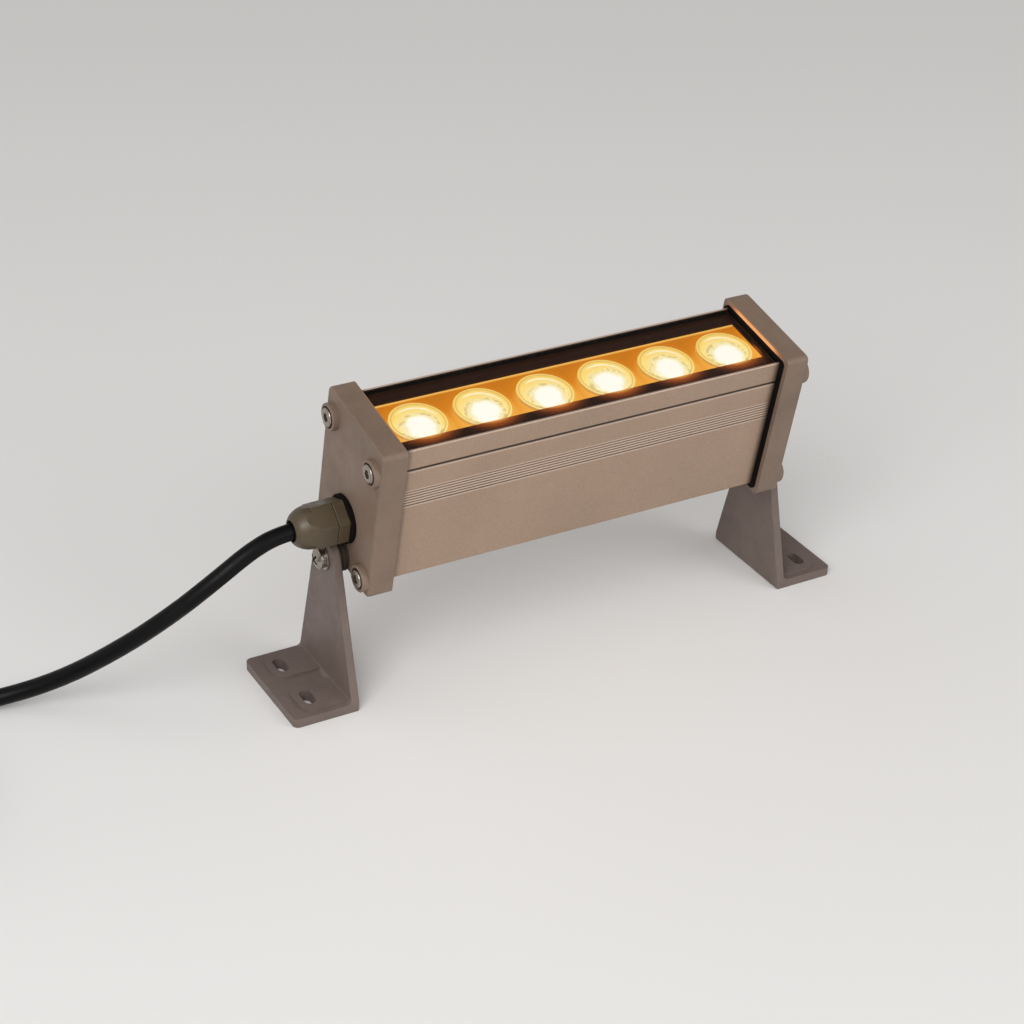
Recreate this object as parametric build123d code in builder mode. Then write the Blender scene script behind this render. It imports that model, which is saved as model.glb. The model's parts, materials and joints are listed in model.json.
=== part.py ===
"""Outdoor wall washer light.

An extruded aluminium housing holds six lensed LEDs under a glass cover. Two die-cast end caps close it, and
each cap turns on a screw in a foot bracket. The supply cable leaves through a gland in the left cap, runs
down to the floor and ends in a coil of two layers.

Millimetres. +X runs along the lamp, +Z is up, and the glass leans towards -Y. The origin is on the floor
under the middle of the lamp. Across the lamp, u runs from the front face to the back face, and v runs from
the pivot up to the glass. "out" is a distance from the middle of the lamp towards either end.
"""

import os
from math import cos, pi, radians, sin, sqrt, tan

from build123d import *

os.makedirs("parts", exist_ok=True)

# ------------------------------------------------------------------ driving dimensions: the lamp
CAP_OUT = 100.0  # outer face of an end cap
CAP_THICK = 11.0
CAP_WIDTH = 50.0
CAP_HEIGHT = 73.1
CAP_BELOW = 4.9  # from the pivot down to the cap's lower edge
CAP_CORNER = 2.5
CAP_EDGE = 1.2
CAP_WALL = 3.5  # the cap's front, over its hollow
HOLLOW_WIDE = 29.0
HOLLOW_LOW = 8.0
HOLLOW_HIGH = 56.0
TILT = 11.3  # the glass leans this far to the front
PIVOT_Z = 61.4

GASKET_THICK = 1.2
GASKET_INSET = 2.2  # from the cap's outline
HOUSING_U = 21.0
HOUSING_LOW = -1.0
HOUSING_HIGH = 65.3
WALL = 2.2
WEB_LOW = 43.1  # the web carries the LED board
WEB_HIGH = 46.6
CHANNEL_LOW = 53.5
CHANNEL_HALF = 14.2
SEAM_V = 55.5
FLUTE_MID = 40.6
FLUTE_PITCH = 1.35
FLUTE_COUNT = 6

SCREW_R = 1.6  # the core of the thread
SCREW_U = 18.8
SCREW_LOW = 2.1
SCREW_HIGH = 56.8
SCREW_HOLE_R = 2.25
BOSS_R = 5.8
BOSS_HIGH = 2.5
BOSS_INSET = 0.3
BOSS_EDGE = 0.5
BORE_R = 4.7
BORE_DEEP = 1.6

# ------------------------------------------------------------------ driving dimensions: the optics
LED_COUNT = 6
LED_PITCH = 29.15
LED_MID = 1.2  # the row sits this far from the lamp's middle, clear of the wires
BOARD_LONG = 167.0
BOARD_WIDE = 26.0
BOARD_THICK = 1.6
LENS_R = 11.2
FLANGE_R = 12.2
TRAY_LOW = 56.2
TRAY_LONG = 174.4
TRAY_WIDE = 28.0
TRAY_THICK = 1.5
TRAY_RIM = 1.8
SEAT_V = 59.8  # the ledge under the glass seal
SEAL_THICK = 1.0
SEAL_FRONT = -11.7  # the opening of the black frame, wider at the front
SEAL_BACK = 13.4
GLASS_THICK = 4.0
GLASS_OUT = 87.3
GLASS_U = 19.7

# ------------------------------------------------------------------ driving dimensions: the driver
DRIVER_LOW = 23.7
DRIVER_THICK = 1.6
TERMINAL_X = -60.0
TERMINAL_LONG = 12.0
TERMINAL_WIDE = 16.0
TERMINAL_HIGH = 8.0
TERMINAL_PITCH = 4.5
WIRE_V = 37.0  # the LED wires run at this height, above the driver

# ------------------------------------------------------------------ driving dimensions: the cable and gland
CABLE_R = 3.6
CABLE_END_OUT = 84.0
CABLE_EXIT_OUT = 118.5  # here the seal lets go of the cable, inside the gland's mouth
GLAND_V = 18.5
GLAND_THREAD_R = 7.6
GLAND_THREAD_END = 91.5
GLAND_GASKET_R = 10.4
FLANGE_OUT = 102.0  # the gland's hexagon flange starts on its gasket
FLANGE_LONG = 5.0
STUB_OUT = 118.0
SEAL_OUT = 112.0
SEAL_R = 5.7
NUT_OUT = 107.3
GLAND_MOUTH_OUT = 124.0

# ------------------------------------------------------------------ driving dimensions: the brackets
ARM_IN = 104.32
ARM_THICK = 3.66
EYE_R = 9.3
FOOT_OUT = 133.6
FOOT_HALF = 25.15
FOOT_THICK = 4.0
PAD_OUT = 128.0
PAD_WIDE = 18.0
PAD_HIGH = 1.0
SLOT_LONG = 10.0
SLOT_WIDE = 5.0
SLOT_OUT = 122.4
SLOT_Y = 13.2
PIVOT_R = 2.5
PIVOT_SCREW_END = 92.5
SPACER_R = 7.5
WASHER_R = 5.5
LOCK_WASHER_R = 4.3
PIVOT_HEAD_R = 4.6

# ------------------------------------------------------------------ the cable's way to its coil
CABLE_Z = CABLE_R + 0.05  # the cable's middle where it lies on the floor
COIL_X = -313.0
COIL_Y = 4.0  # from the pivot plane
COIL_R = 46.0  # the outermost half turn
COIL_STEP = 2 * CABLE_R + 0.5  # from one turn to the next, sideways and upwards
COIL_HALVES = 3  # half turns wound inwards before the climb
EXIT_RUN = 10.5  # the first run goes straight on out of the gland
LEAD_TURNS = (  # the next turns on the way to the coil, from the pivot plane
    (-142.0, -5.0, 76.2),
    (-157.0, -5.0, 67.0),
    (-173.0, 1.0, 52.5),
    (-191.0, 12.5, 35.0),
    (-212.0, 30.5, 14.8),
    (-237.0, 44.5, CABLE_Z),
    (-272.0, COIL_Y + COIL_R, CABLE_Z),
)

# ------------------------------------------------------------------ worked out from them
CAP_IN = CAP_OUT - CAP_THICK
CAP_TOP = CAP_HEIGHT - CAP_BELOW
CAP_MID = CAP_TOP - CAP_HEIGHT / 2
BODY_OUT = CAP_IN - GASKET_THICK
BOARD_TOP = WEB_HIGH + BOARD_THICK
DRIVER_TOP = DRIVER_LOW + DRIVER_THICK
TERMINAL_V = DRIVER_TOP + TERMINAL_HIGH / 2
SCREW_SEAT = CAP_OUT + BOSS_HIGH - BORE_DEEP
SCREW_POINTS = [(u, v) for u in (-SCREW_U, SCREW_U) for v in (SCREW_LOW, SCREW_HIGH)]
LED_PLACES = [LED_MID + LED_PITCH * (i - (LED_COUNT - 1) / 2) for i in range(LED_COUNT)]
BOARD_SCREWS = [(LED_MID + LED_PITCH * i, u) for i in (-2, 0, 2) for u in (-9.5, 9.5)]
WIRE_HOLE_X = -80.0
ARM_OUT = ARM_IN + ARM_THICK

LEAN_COS = cos(radians(TILT))
LEAN_SIN = sin(radians(TILT))
FRONT_REACH = (CAP_WIDTH / 2 - CAP_CORNER) * LEAN_COS + (CAP_TOP - CAP_CORNER) * LEAN_SIN + CAP_CORNER
PIVOT_Y = (FRONT_REACH - FOOT_HALF) / 2  # puts the origin midway between front and back
U_DIR = Vector(0, LEAN_COS, LEAN_SIN)
V_DIR = Vector(0, -LEAN_SIN, LEAN_COS)
PIVOT = Vector(0, PIVOT_Y, PIVOT_Z)

STANDING = (Align.CENTER, Align.CENTER, Align.MIN)
HANGING = (Align.CENTER, Align.CENTER, Align.MAX)
SIDES = ((-1, "left"), (1, "right"))


# ------------------------------------------------------------------ planes and places
def lamp_point(x, u, v):
    """A place in the lamp."""
    return PIVOT + Vector(x, 0, 0) + U_DIR * u + V_DIR * v


def deck(v):
    """The plane square to v, with its x along the lamp and its y along u."""
    return Plane(origin=lamp_point(0, 0, v), x_dir=(1, 0, 0), z_dir=V_DIR)


def end_plane(side, out, v=0.0):
    """The plane across the lamp at one end, facing outwards, with its y along v."""
    return Plane(origin=lamp_point(side * out, 0, v), x_dir=U_DIR * side, z_dir=(side, 0, 0))


def turning_plane(side, v=0.0):
    """The plane of a turned outline: its x runs outwards on the turning axis and its y is the radius."""
    return Plane(origin=lamp_point(0, 0, v), x_dir=(side, 0, 0), z_dir=U_DIR * -side)


def outermost(shapes, side):
    """Those of the shapes that lie furthest out at one end."""
    return shapes.group_by(Axis.X)[-1 if side > 0 else 0]


def turn(outline, plane, mode=Mode.ADD):
    """Turn a closed outline of (out, radius) points about the plane's x axis."""
    with BuildSketch(plane) as section:
        Polygon(*outline, align=None)
    revolve(section.sketch, axis=Axis(plane.origin, plane.x_dir), mode=mode)


def hexagon(plane, across_flats, height, corner, mode=Mode.ADD):
    """A hexagonal prism with rounded corners."""
    with BuildSketch(plane) as sketch:
        RegularPolygon(across_flats / 2, 6, major_radius=False)
        fillet(sketch.vertices(), radius=corner)
    extrude(sketch.sketch, amount=height, mode=mode)


def wire(points, radii, radius):
    """A round wire along straight runs joined by arcs."""
    with BuildLine() as run:
        FilletPolyline(*points, radius=radii)
    path = run.wire()
    with BuildSketch(Plane(origin=path @ 0, z_dir=path % 0)) as section:
        Circle(radius)
    sweep(section.sketch, path=path)
    return path


# ------------------------------------------------------------------ housing and end caps
def face_cuts():
    """The seam groove and the flutes of the front and back faces, as cuts in the housing's section."""
    seam_half = 0.45
    seam_deep = 0.6
    flute_deep = 0.4
    flutes = [FLUTE_MID + FLUTE_PITCH * (i - (FLUTE_COUNT - 1) / 2) for i in range(FLUTE_COUNT)]
    for face in (-1, 1):
        outer = face * HOUSING_U
        floor = face * (HOUSING_U - seam_deep)
        Polygon(
            (outer, SEAM_V + seam_half),
            (floor, SEAM_V + seam_half),
            (floor, SEAM_V - seam_half),
            (outer, SEAM_V - seam_half - seam_deep),
            align=None,
            mode=Mode.SUBTRACT,
        )
        with Locations(*[(outer, v) for v in flutes]):
            Rectangle(flute_deep * sqrt(2), flute_deep * sqrt(2), rotation=45, mode=Mode.SUBTRACT)


def housing_cavities():
    """The hollows of the housing's section, each (half width, lowest, highest)."""
    inside = HOUSING_U - WALL
    hollows = (
        (inside, HOUSING_LOW + WALL, WEB_LOW),
        (inside, WEB_HIGH, CHANNEL_LOW),
        (CHANNEL_HALF, CHANNEL_LOW, SEAT_V),
        (GLASS_U + 0.2, SEAT_V, HOUSING_HIGH),
    )
    for half, low, high in hollows:
        with Locations((0, low)):
            Rectangle(2 * half, high - low, align=(Align.CENTER, Align.MIN), mode=Mode.SUBTRACT)
    for face in (-1, 1):
        for inner, low, high in (
            (12.8, TRAY_LOW - 1.7, TRAY_LOW),  # the ledge under the lens tray
            (17.3, DRIVER_LOW - 1.3, DRIVER_LOW - 0.1),  # the rib below the driver board
            (17.3, DRIVER_TOP + 0.1, DRIVER_TOP + 1.3),  # the rib above it
            (15.2, HOUSING_LOW + WALL, 5.2),  # the block round the lower screw port
        ):
            with Locations((face * (inner + inside + 0.5) / 2, (low + high) / 2)):
                Rectangle(inside + 0.5 - inner, high - low)


def housing():
    """The extrusion: glass seat, optic channel, web, driver chamber and screw ports."""
    with BuildPart() as body:
        with BuildSketch(end_plane(1, -BODY_OUT)) as section:
            with Locations((0, (HOUSING_LOW + HOUSING_HIGH) / 2)):
                Rectangle(2 * HOUSING_U, HOUSING_HIGH - HOUSING_LOW)
            fillet(section.vertices().group_by(Axis.Y)[0], radius=1.5)
            fillet(section.vertices().group_by(Axis.Y)[-1], radius=0.6)
            housing_cavities()
            face_cuts()
            with Locations(*SCREW_POINTS):
                Circle(SCREW_R, mode=Mode.SUBTRACT)
        extrude(amount=2 * BODY_OUT)
        with Locations(deck(WEB_HIGH)):
            with Locations(*BOARD_SCREWS):
                Hole(1.5, depth=WEB_HIGH - WEB_LOW)
            with Locations((WIRE_HOLE_X, 0)):
                Hole(2.5, depth=WEB_HIGH - WEB_LOW)
    body.part.label = "housing"
    export_step(body.part, "parts/housing.step")


def end_cap(side, hand):
    """A die-cast cap, hollow behind, with four screw bosses and a threaded pivot hole."""
    with BuildPart() as cap:
        with BuildSketch(end_plane(side, CAP_IN, CAP_MID)):
            RectangleRounded(CAP_WIDTH, CAP_HEIGHT, CAP_CORNER)
        extrude(amount=CAP_THICK)
        fillet(outermost(cap.faces(), side).edges(), radius=CAP_EDGE)
        with BuildSketch(end_plane(side, CAP_IN, (HOLLOW_LOW + HOLLOW_HIGH) / 2)):
            RectangleRounded(HOLLOW_WIDE, HOLLOW_HIGH - HOLLOW_LOW, 2)
        extrude(amount=CAP_THICK - CAP_WALL, mode=Mode.SUBTRACT)
        with BuildSketch(end_plane(side, CAP_OUT - CAP_EDGE)):
            with Locations(*SCREW_POINTS):
                Circle(BOSS_R)
            with Locations((0, CAP_MID)):
                RectangleRounded(
                    CAP_WIDTH - 2 * BOSS_INSET,
                    CAP_HEIGHT - 2 * BOSS_INSET,
                    CAP_CORNER - BOSS_INSET,
                    mode=Mode.INTERSECT,
                )
        extrude(amount=CAP_EDGE + BOSS_HIGH)
        fillet(outermost(cap.faces(), side).edges(), radius=BOSS_EDGE)
        with Locations(end_plane(side, CAP_OUT + BOSS_HIGH)):
            with Locations(*SCREW_POINTS):
                CounterBoreHole(SCREW_HOLE_R, BORE_R, BORE_DEEP, depth=CAP_THICK + BOSS_HIGH)
        with Locations(end_plane(side, CAP_OUT)):
            Hole(PIVOT_R, depth=9)
        if hand == "left":
            with Locations(end_plane(side, CAP_OUT, GLAND_V)):
                Hole(GLAND_THREAD_R, depth=CAP_WALL)
    cap.part.label = f"end_cap_{hand}"
    export_step(cap.part, f"parts/end_cap_{hand}.step")


def end_gasket(side, hand):
    """A flat rubber gasket between the housing and its cap."""
    with BuildPart() as gasket:
        with BuildSketch(end_plane(side, BODY_OUT)):
            with Locations((0, CAP_MID)):
                RectangleRounded(CAP_WIDTH - 2 * GASKET_INSET, CAP_HEIGHT - 2 * GASKET_INSET, 2)
            with Locations((0, (HOLLOW_LOW + HOLLOW_HIGH) / 2)):
                Rectangle(HOLLOW_WIDE - 1, HOLLOW_HIGH - HOLLOW_LOW - 4, mode=Mode.SUBTRACT)
            with Locations(*SCREW_POINTS):
                Circle(SCREW_HOLE_R, mode=Mode.SUBTRACT)
        extrude(amount=GASKET_THICK)
    gasket.part.label = f"end_gasket_{hand}"
    export_step(gasket.part, f"parts/end_gasket_{hand}.step")


def cap_screws(side, hand):
    """The four socket-head screws of one cap."""
    head_r = 4.0
    head_high = 2.3
    socket = 3.5  # across its flats
    shank = 25.0
    with BuildPart() as screws:
        with Locations(end_plane(side, SCREW_SEAT)):
            with Locations(*SCREW_POINTS):
                Cylinder(head_r, head_high, align=STANDING)
        fillet(outermost(screws.edges().filter_by(GeomType.CIRCLE), side), radius=0.6)
        with BuildSketch(end_plane(side, SCREW_SEAT + head_high)):
            with Locations(*SCREW_POINTS):
                RegularPolygon(socket / 2, 6, major_radius=False)
        extrude(amount=-1.5, mode=Mode.SUBTRACT)
        with Locations(end_plane(side, SCREW_SEAT)):
            with Locations(*SCREW_POINTS):
                Cylinder(SCREW_R, shank, align=HANGING)
    screws.part.label = f"cap_screws_{hand}"
    export_step(screws.part, f"parts/cap_screws_{hand}.step")


# ------------------------------------------------------------------ glass, lenses and LED board
def glass_cover():
    """The flat glass in the housing's seat, its upper edges eased."""
    with BuildPart() as glass:
        with BuildSketch(deck(SEAT_V + SEAL_THICK)):
            Rectangle(2 * GLASS_OUT, 2 * GLASS_U)
        extrude(amount=GLASS_THICK)
        chamfer(glass.edges().group_by(Axis(PIVOT, V_DIR))[-1], length=0.3)
    glass.part.label = "glass_cover"
    export_step(glass.part, "parts/glass_cover.step")


def glass_seal():
    """The black frame under the edges of the glass."""
    with BuildPart() as seal:
        with BuildSketch(deck(SEAT_V)):
            Rectangle(2 * GLASS_OUT, 2 * GLASS_U)
            with Locations((0, (SEAL_FRONT + SEAL_BACK) / 2)):
                Rectangle(2 * (GLASS_OUT - 0.8), SEAL_BACK - SEAL_FRONT, mode=Mode.SUBTRACT)
        extrude(amount=SEAL_THICK)
    seal.part.label = "glass_seal"
    export_step(seal.part, "parts/glass_seal.step")


def lens_tray():
    """The pale tray that the lenses hang in, with a low rim."""
    rim_wall = 0.8
    with BuildPart() as tray:
        with BuildSketch(deck(TRAY_LOW)):
            Rectangle(TRAY_LONG, TRAY_WIDE)
        extrude(amount=TRAY_THICK + TRAY_RIM)
        with BuildSketch(deck(TRAY_LOW + TRAY_THICK)):
            Rectangle(TRAY_LONG - 2 * rim_wall, TRAY_WIDE - 2 * rim_wall)
        extrude(amount=TRAY_RIM, mode=Mode.SUBTRACT)
        with Locations(deck(TRAY_LOW + TRAY_THICK)):
            with Locations(*[(x, 0) for x in LED_PLACES]):
                Hole(LENS_R + 0.3, depth=TRAY_THICK)
    tray.part.label = "lens_tray"
    export_step(tray.part, "parts/lens_tray.step")


def lens(number, x):
    """A collimating lens: a hollow foot over the LED, a flaring side, a flange and a low dome."""
    foot_r = 4.3
    hollow_r = 2.7
    hollow_top = 51.5
    flange_low = TRAY_LOW + TRAY_THICK
    flange_high = flange_low + 1.2
    dome_r = 9.0
    dome_top = SEAT_V - 0.1
    plane = Plane(origin=lamp_point(x, 0, 0), x_dir=(1, 0, 0), z_dir=U_DIR * -1)
    with BuildPart() as optic:
        with BuildSketch(plane):
            with BuildLine():
                Polyline((0, hollow_top), (hollow_r, hollow_top), (hollow_r, BOARD_TOP), (foot_r, BOARD_TOP))
                ThreePointArc((foot_r, BOARD_TOP), (8.6, 53.6), (LENS_R, flange_low))
                Polyline(
                    (LENS_R, flange_low),
                    (FLANGE_R, flange_low),
                    (FLANGE_R, flange_high),
                    (dome_r, flange_high),
                )
                TangentArc((0, dome_top), (dome_r, flange_high), tangent=(1, 0))
                Line((0, dome_top), (0, hollow_top))
            make_face()
        revolve(axis=Axis(plane.origin, V_DIR))
    optic.part.label = f"lens_{number}"
    export_step(optic.part, f"parts/lens_{number}.step")


def led(number, x):
    """A square LED package with its clear dome."""
    package = 3.5
    package_high = 0.8
    dome_r = 1.3
    with BuildPart() as emitter:
        with Locations(deck(BOARD_TOP)):
            with Locations((x, 0)):
                Box(package, package, package_high, align=STANDING)
        with Locations(deck(BOARD_TOP + package_high)):
            with Locations((x, 0)):
                Sphere(dome_r, arc_size1=0)
    emitter.part.label = f"led_{number}"
    export_step(emitter.part, f"parts/led_{number}.step")


def led_board():
    """The aluminium-backed LED board on the web."""
    with BuildPart() as board:
        with BuildSketch(deck(WEB_HIGH)):
            Rectangle(BOARD_LONG, BOARD_WIDE)
            with Locations(*BOARD_SCREWS):
                Circle(1.5, mode=Mode.SUBTRACT)
            with Locations((WIRE_HOLE_X, 0)):
                Circle(2.0, mode=Mode.SUBTRACT)
        extrude(amount=BOARD_THICK)
    board.part.label = "led_board"
    export_step(board.part, "parts/led_board.step")


def board_screws():
    """The six pan-head screws that hold the LED board down."""
    with BuildPart() as screws:
        with Locations(deck(BOARD_TOP)):
            with Locations(*BOARD_SCREWS):
                Cylinder(2.75, 2.0, align=STANDING)
                Cylinder(1.5, 4.6, align=HANGING)
    screws.part.label = "board_screws"
    export_step(screws.part, "parts/board_screws.step")


# ------------------------------------------------------------------ driver and inner wiring
def driver_board():
    """The driver's circuit board, slid in between the ribs of the housing."""
    with BuildPart() as board:
        with BuildSketch(deck(DRIVER_LOW)):
            with Locations((5, 0)):
                Rectangle(130, 2 * (HOUSING_U - WALL - 0.2))
        extrude(amount=DRIVER_TOP - DRIVER_LOW)
    board.part.label = "driver_board"
    export_step(board.part, "parts/driver_board.step")


def driver_parts():
    """The choke, the capacitor and the chips on the driver board."""
    with BuildPart() as choke:
        with Locations(deck(DRIVER_TOP)):
            with Locations((32, -6)):
                Cylinder(6, 10, align=STANDING)
    choke.part.label = "driver_coil"
    export_step(choke.part, "parts/driver_coil.step")

    with BuildPart() as capacitor:
        with Locations(deck(DRIVER_TOP)):
            with Locations((52, 7)):
                Cylinder(4, 14, align=STANDING)
        fillet(capacitor.edges().group_by(Axis(PIVOT, V_DIR))[-1], radius=0.6)
    capacitor.part.label = "driver_capacitor"
    export_step(capacitor.part, "parts/driver_capacitor.step")

    with BuildPart() as chips:
        with Locations(deck(DRIVER_TOP)):
            with Locations((-20, -4), (12, 6)):
                Box(8, 6, 1.8, align=STANDING)
            with Locations((-4, 9), (-4, -9), (58, -8)):
                Box(4, 3, 1.2, align=STANDING)
    chips.part.label = "driver_chips"
    export_step(chips.part, "parts/driver_chips.step")


def terminal_block():
    """The three-way terminal block for the supply, its screw wells open at the top."""
    poles = [TERMINAL_PITCH * i for i in (-1, 0, 1)]
    with BuildPart() as block:
        with Locations(deck(DRIVER_TOP)):
            with Locations((TERMINAL_X + TERMINAL_LONG / 2, 0)):
                Box(TERMINAL_LONG, TERMINAL_WIDE, TERMINAL_HIGH, align=STANDING)
        with Locations(deck(DRIVER_TOP + TERMINAL_HIGH)):
            with Locations(*[(TERMINAL_X + 4, u) for u in poles]):
                Hole(1.5, depth=2)
    block.part.label = "terminal_block"
    export_step(block.part, "parts/terminal_block.step")


def led_wires():
    """The pair of wires from the driver, through the web, to the pads of the LED board."""
    arch = BOARD_TOP + 2.0
    with BuildPart() as pair:
        for face in (-1, 1):
            points = [
                lamp_point(-40, 2 * face, DRIVER_TOP),
                lamp_point(-40, 2 * face, WIRE_V),
                lamp_point(WIRE_HOLE_X, 0.9 * face, WIRE_V),
                lamp_point(WIRE_HOLE_X, 0.9 * face, arch),
                lamp_point(WIRE_HOLE_X, 4 * face, arch),
                lamp_point(WIRE_HOLE_X, 4 * face, BOARD_TOP),
            ]
            wire(points, [4, 4, 1.2, 1.2], 0.6)
    pair.part.label = "led_wires"
    export_step(pair.part, "parts/led_wires.step")


def supply_wires():
    """The three cores from the cable's inner end to the terminal block."""
    with BuildPart() as cores:
        for pole in (-1, 0, 1):
            u = 1.9 * pole
            v = GLAND_V + (1.2 if pole == 0 else -0.8)
            points = [
                lamp_point(-CABLE_END_OUT, u, v),
                lamp_point(-CABLE_END_OUT + 7, u, v),
                lamp_point(-CABLE_END_OUT + 15, TERMINAL_PITCH * pole, TERMINAL_V),
                lamp_point(TERMINAL_X, TERMINAL_PITCH * pole, TERMINAL_V),
            ]
            wire(points, [5, 5], 0.9)
    cores.part.label = "supply_wires"
    export_step(cores.part, "parts/supply_wires.step")


# ------------------------------------------------------------------ cable gland
def gland_body():
    """The gland's body: thread through the cap, hexagon flange, and thread for the nut."""
    with BuildPart() as body:
        hexagon(end_plane(-1, FLANGE_OUT, GLAND_V), 17.6, FLANGE_LONG, 0.8)
        with Locations(end_plane(-1, GLAND_THREAD_END, GLAND_V)):
            Cylinder(GLAND_THREAD_R, FLANGE_OUT - GLAND_THREAD_END, align=STANDING)
        with Locations(end_plane(-1, FLANGE_OUT, GLAND_V)):
            Cylinder(7.0, STUB_OUT - FLANGE_OUT, align=STANDING)
        with Locations(end_plane(-1, STUB_OUT, GLAND_V)):
            Hole(CABLE_R + 0.3, depth=STUB_OUT - GLAND_THREAD_END)
            Hole(SEAL_R + 0.1, depth=STUB_OUT - SEAL_OUT)
    body.part.label = "gland_body"
    export_step(body.part, "parts/gland_body.step")


def gland_nut():
    """The gland's nut: a hexagon that ends in a dome with the cable's mouth."""
    dome = ((NUT_OUT, 10.1), (114.0, 10.0), (117.2, 9.0), (120.0, 7.9), (122.4, 6.5), (123.6, 5.5))
    bore = ((NUT_OUT, 7.1), (118.2, 7.1), (119.2, 5.7), (123.0, 4.6), (GLAND_MOUTH_OUT, 4.6))
    foot, tip = (NUT_OUT, 0), (GLAND_MOUTH_OUT, 0)
    with BuildPart() as nut:
        with BuildSketch(end_plane(-1, NUT_OUT, GLAND_V)) as hexagonal:
            RegularPolygon(8.75, 6, major_radius=False)
            fillet(hexagonal.vertices(), radius=0.5)
        extrude(amount=GLAND_MOUTH_OUT - NUT_OUT, taper=1.0)
        turn([foot, *dome, (GLAND_MOUTH_OUT, 5.0), tip], turning_plane(-1, GLAND_V), Mode.INTERSECT)
        turn([foot, *bore, tip], turning_plane(-1, GLAND_V), Mode.SUBTRACT)
    nut.part.label = "gland_nut"
    export_step(nut.part, "parts/gland_nut.step")


def gland_rubber():
    """The gasket behind the gland's flange and the seal that grips the cable."""
    edge = 0.3
    with BuildPart() as gasket:
        outline = (
            (CAP_OUT, GLAND_THREAD_R),
            (CAP_OUT, GLAND_GASKET_R - edge),
            (CAP_OUT + edge, GLAND_GASKET_R),
            (FLANGE_OUT - edge, GLAND_GASKET_R),
            (FLANGE_OUT, GLAND_GASKET_R - edge),
            (FLANGE_OUT, GLAND_THREAD_R),
        )
        turn(outline, turning_plane(-1, GLAND_V))
    gasket.part.label = "gland_gasket"
    export_step(gasket.part, "parts/gland_gasket.step")

    with BuildPart() as seal:
        outline = (
            (SEAL_OUT + 0.2, CABLE_R),
            (SEAL_OUT + 0.2, SEAL_R),
            (CABLE_EXIT_OUT - 0.4, SEAL_R),
            (CABLE_EXIT_OUT, 5.2),
            (CABLE_EXIT_OUT, CABLE_R),
        )
        turn(outline, turning_plane(-1, GLAND_V))
    seal.part.label = "gland_seal"
    export_step(seal.part, "parts/gland_seal.step")


def gland_locknut():
    """The locknut on the gland's thread, behind the cap's front wall."""
    seat = CAP_OUT - CAP_WALL
    locknut_thick = 3.5
    with BuildPart() as locknut:
        hexagon(end_plane(-1, seat - locknut_thick, GLAND_V), 19, locknut_thick, 0.8)
        with Locations(end_plane(-1, seat, GLAND_V)):
            Hole(GLAND_THREAD_R, depth=locknut_thick)
    locknut.part.label = "gland_locknut"
    export_step(locknut.part, "parts/gland_locknut.step")


def cable_entry():
    """The cable's run from the gland's seal into the driver chamber."""
    with BuildPart() as entry:
        with Locations(end_plane(-1, CABLE_END_OUT, GLAND_V)):
            Cylinder(CABLE_R, CABLE_EXIT_OUT - CABLE_END_OUT, align=STANDING)
    entry.part.label = "cable_entry"
    export_step(entry.part, "parts/cable_entry.step")


# ------------------------------------------------------------------ brackets and pivots
def bracket(side, hand):
    """A foot bracket: a tapered arm with the pivot eye, and a foot with two pads and two slots."""
    arm_plane = Plane(origin=(side * ARM_IN, PIVOT_Y, 0), x_dir=(0, side, 0), z_dir=(side, 0, 0))
    pad_x = side * (ARM_OUT + PAD_OUT) / 2
    slot_ys = (PIVOT_Y - SLOT_Y, PIVOT_Y + SLOT_Y)
    edge = 0.8
    with BuildPart() as cast:
        with BuildSketch(arm_plane):
            with Locations((0, PIVOT_Z)):
                Circle(EYE_R)
            Rectangle(2 * FOOT_HALF, FOOT_THICK, align=(Align.CENTER, Align.MIN))
            make_hull()
        extrude(amount=ARM_THICK)
        with BuildSketch(Plane.XY) as foot:
            with Locations((side * (ARM_IN + FOOT_OUT) / 2, PIVOT_Y)):
                Rectangle(FOOT_OUT - ARM_IN, 2 * FOOT_HALF)
            fillet(outermost(foot.vertices(), side), radius=2.5)
        extrude(amount=FOOT_THICK)
        corner = cast.edges().filter_by(Axis.Y).group_by(Axis.Z)[-1]
        fillet(corner.sort_by(Axis.X)[0 if side > 0 else -1], radius=2)
        with BuildSketch(Plane.XY.offset(FOOT_THICK)) as pads:
            with Locations(*[(pad_x, y) for y in slot_ys]):
                Rectangle(PAD_OUT - ARM_OUT, PAD_WIDE)
            fillet(outermost(pads.vertices(), side), radius=5)
        extrude(amount=PAD_HIGH)
        fillet(cast.faces().group_by(Axis.X)[0 if side > 0 else -1].edges(), radius=edge)
        with BuildSketch(Plane.XY):
            with Locations(*[(side * SLOT_OUT, y) for y in slot_ys]):
                SlotOverall(SLOT_LONG, SLOT_WIDE, rotation=90)
        extrude(amount=FOOT_THICK + PAD_HIGH, mode=Mode.SUBTRACT)
        with Locations(end_plane(side, ARM_OUT)):
            Hole(PIVOT_R + 0.05, depth=ARM_THICK)
    cast.part.label = f"bracket_{hand}"
    export_step(cast.part, f"parts/bracket_{hand}.step")


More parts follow.
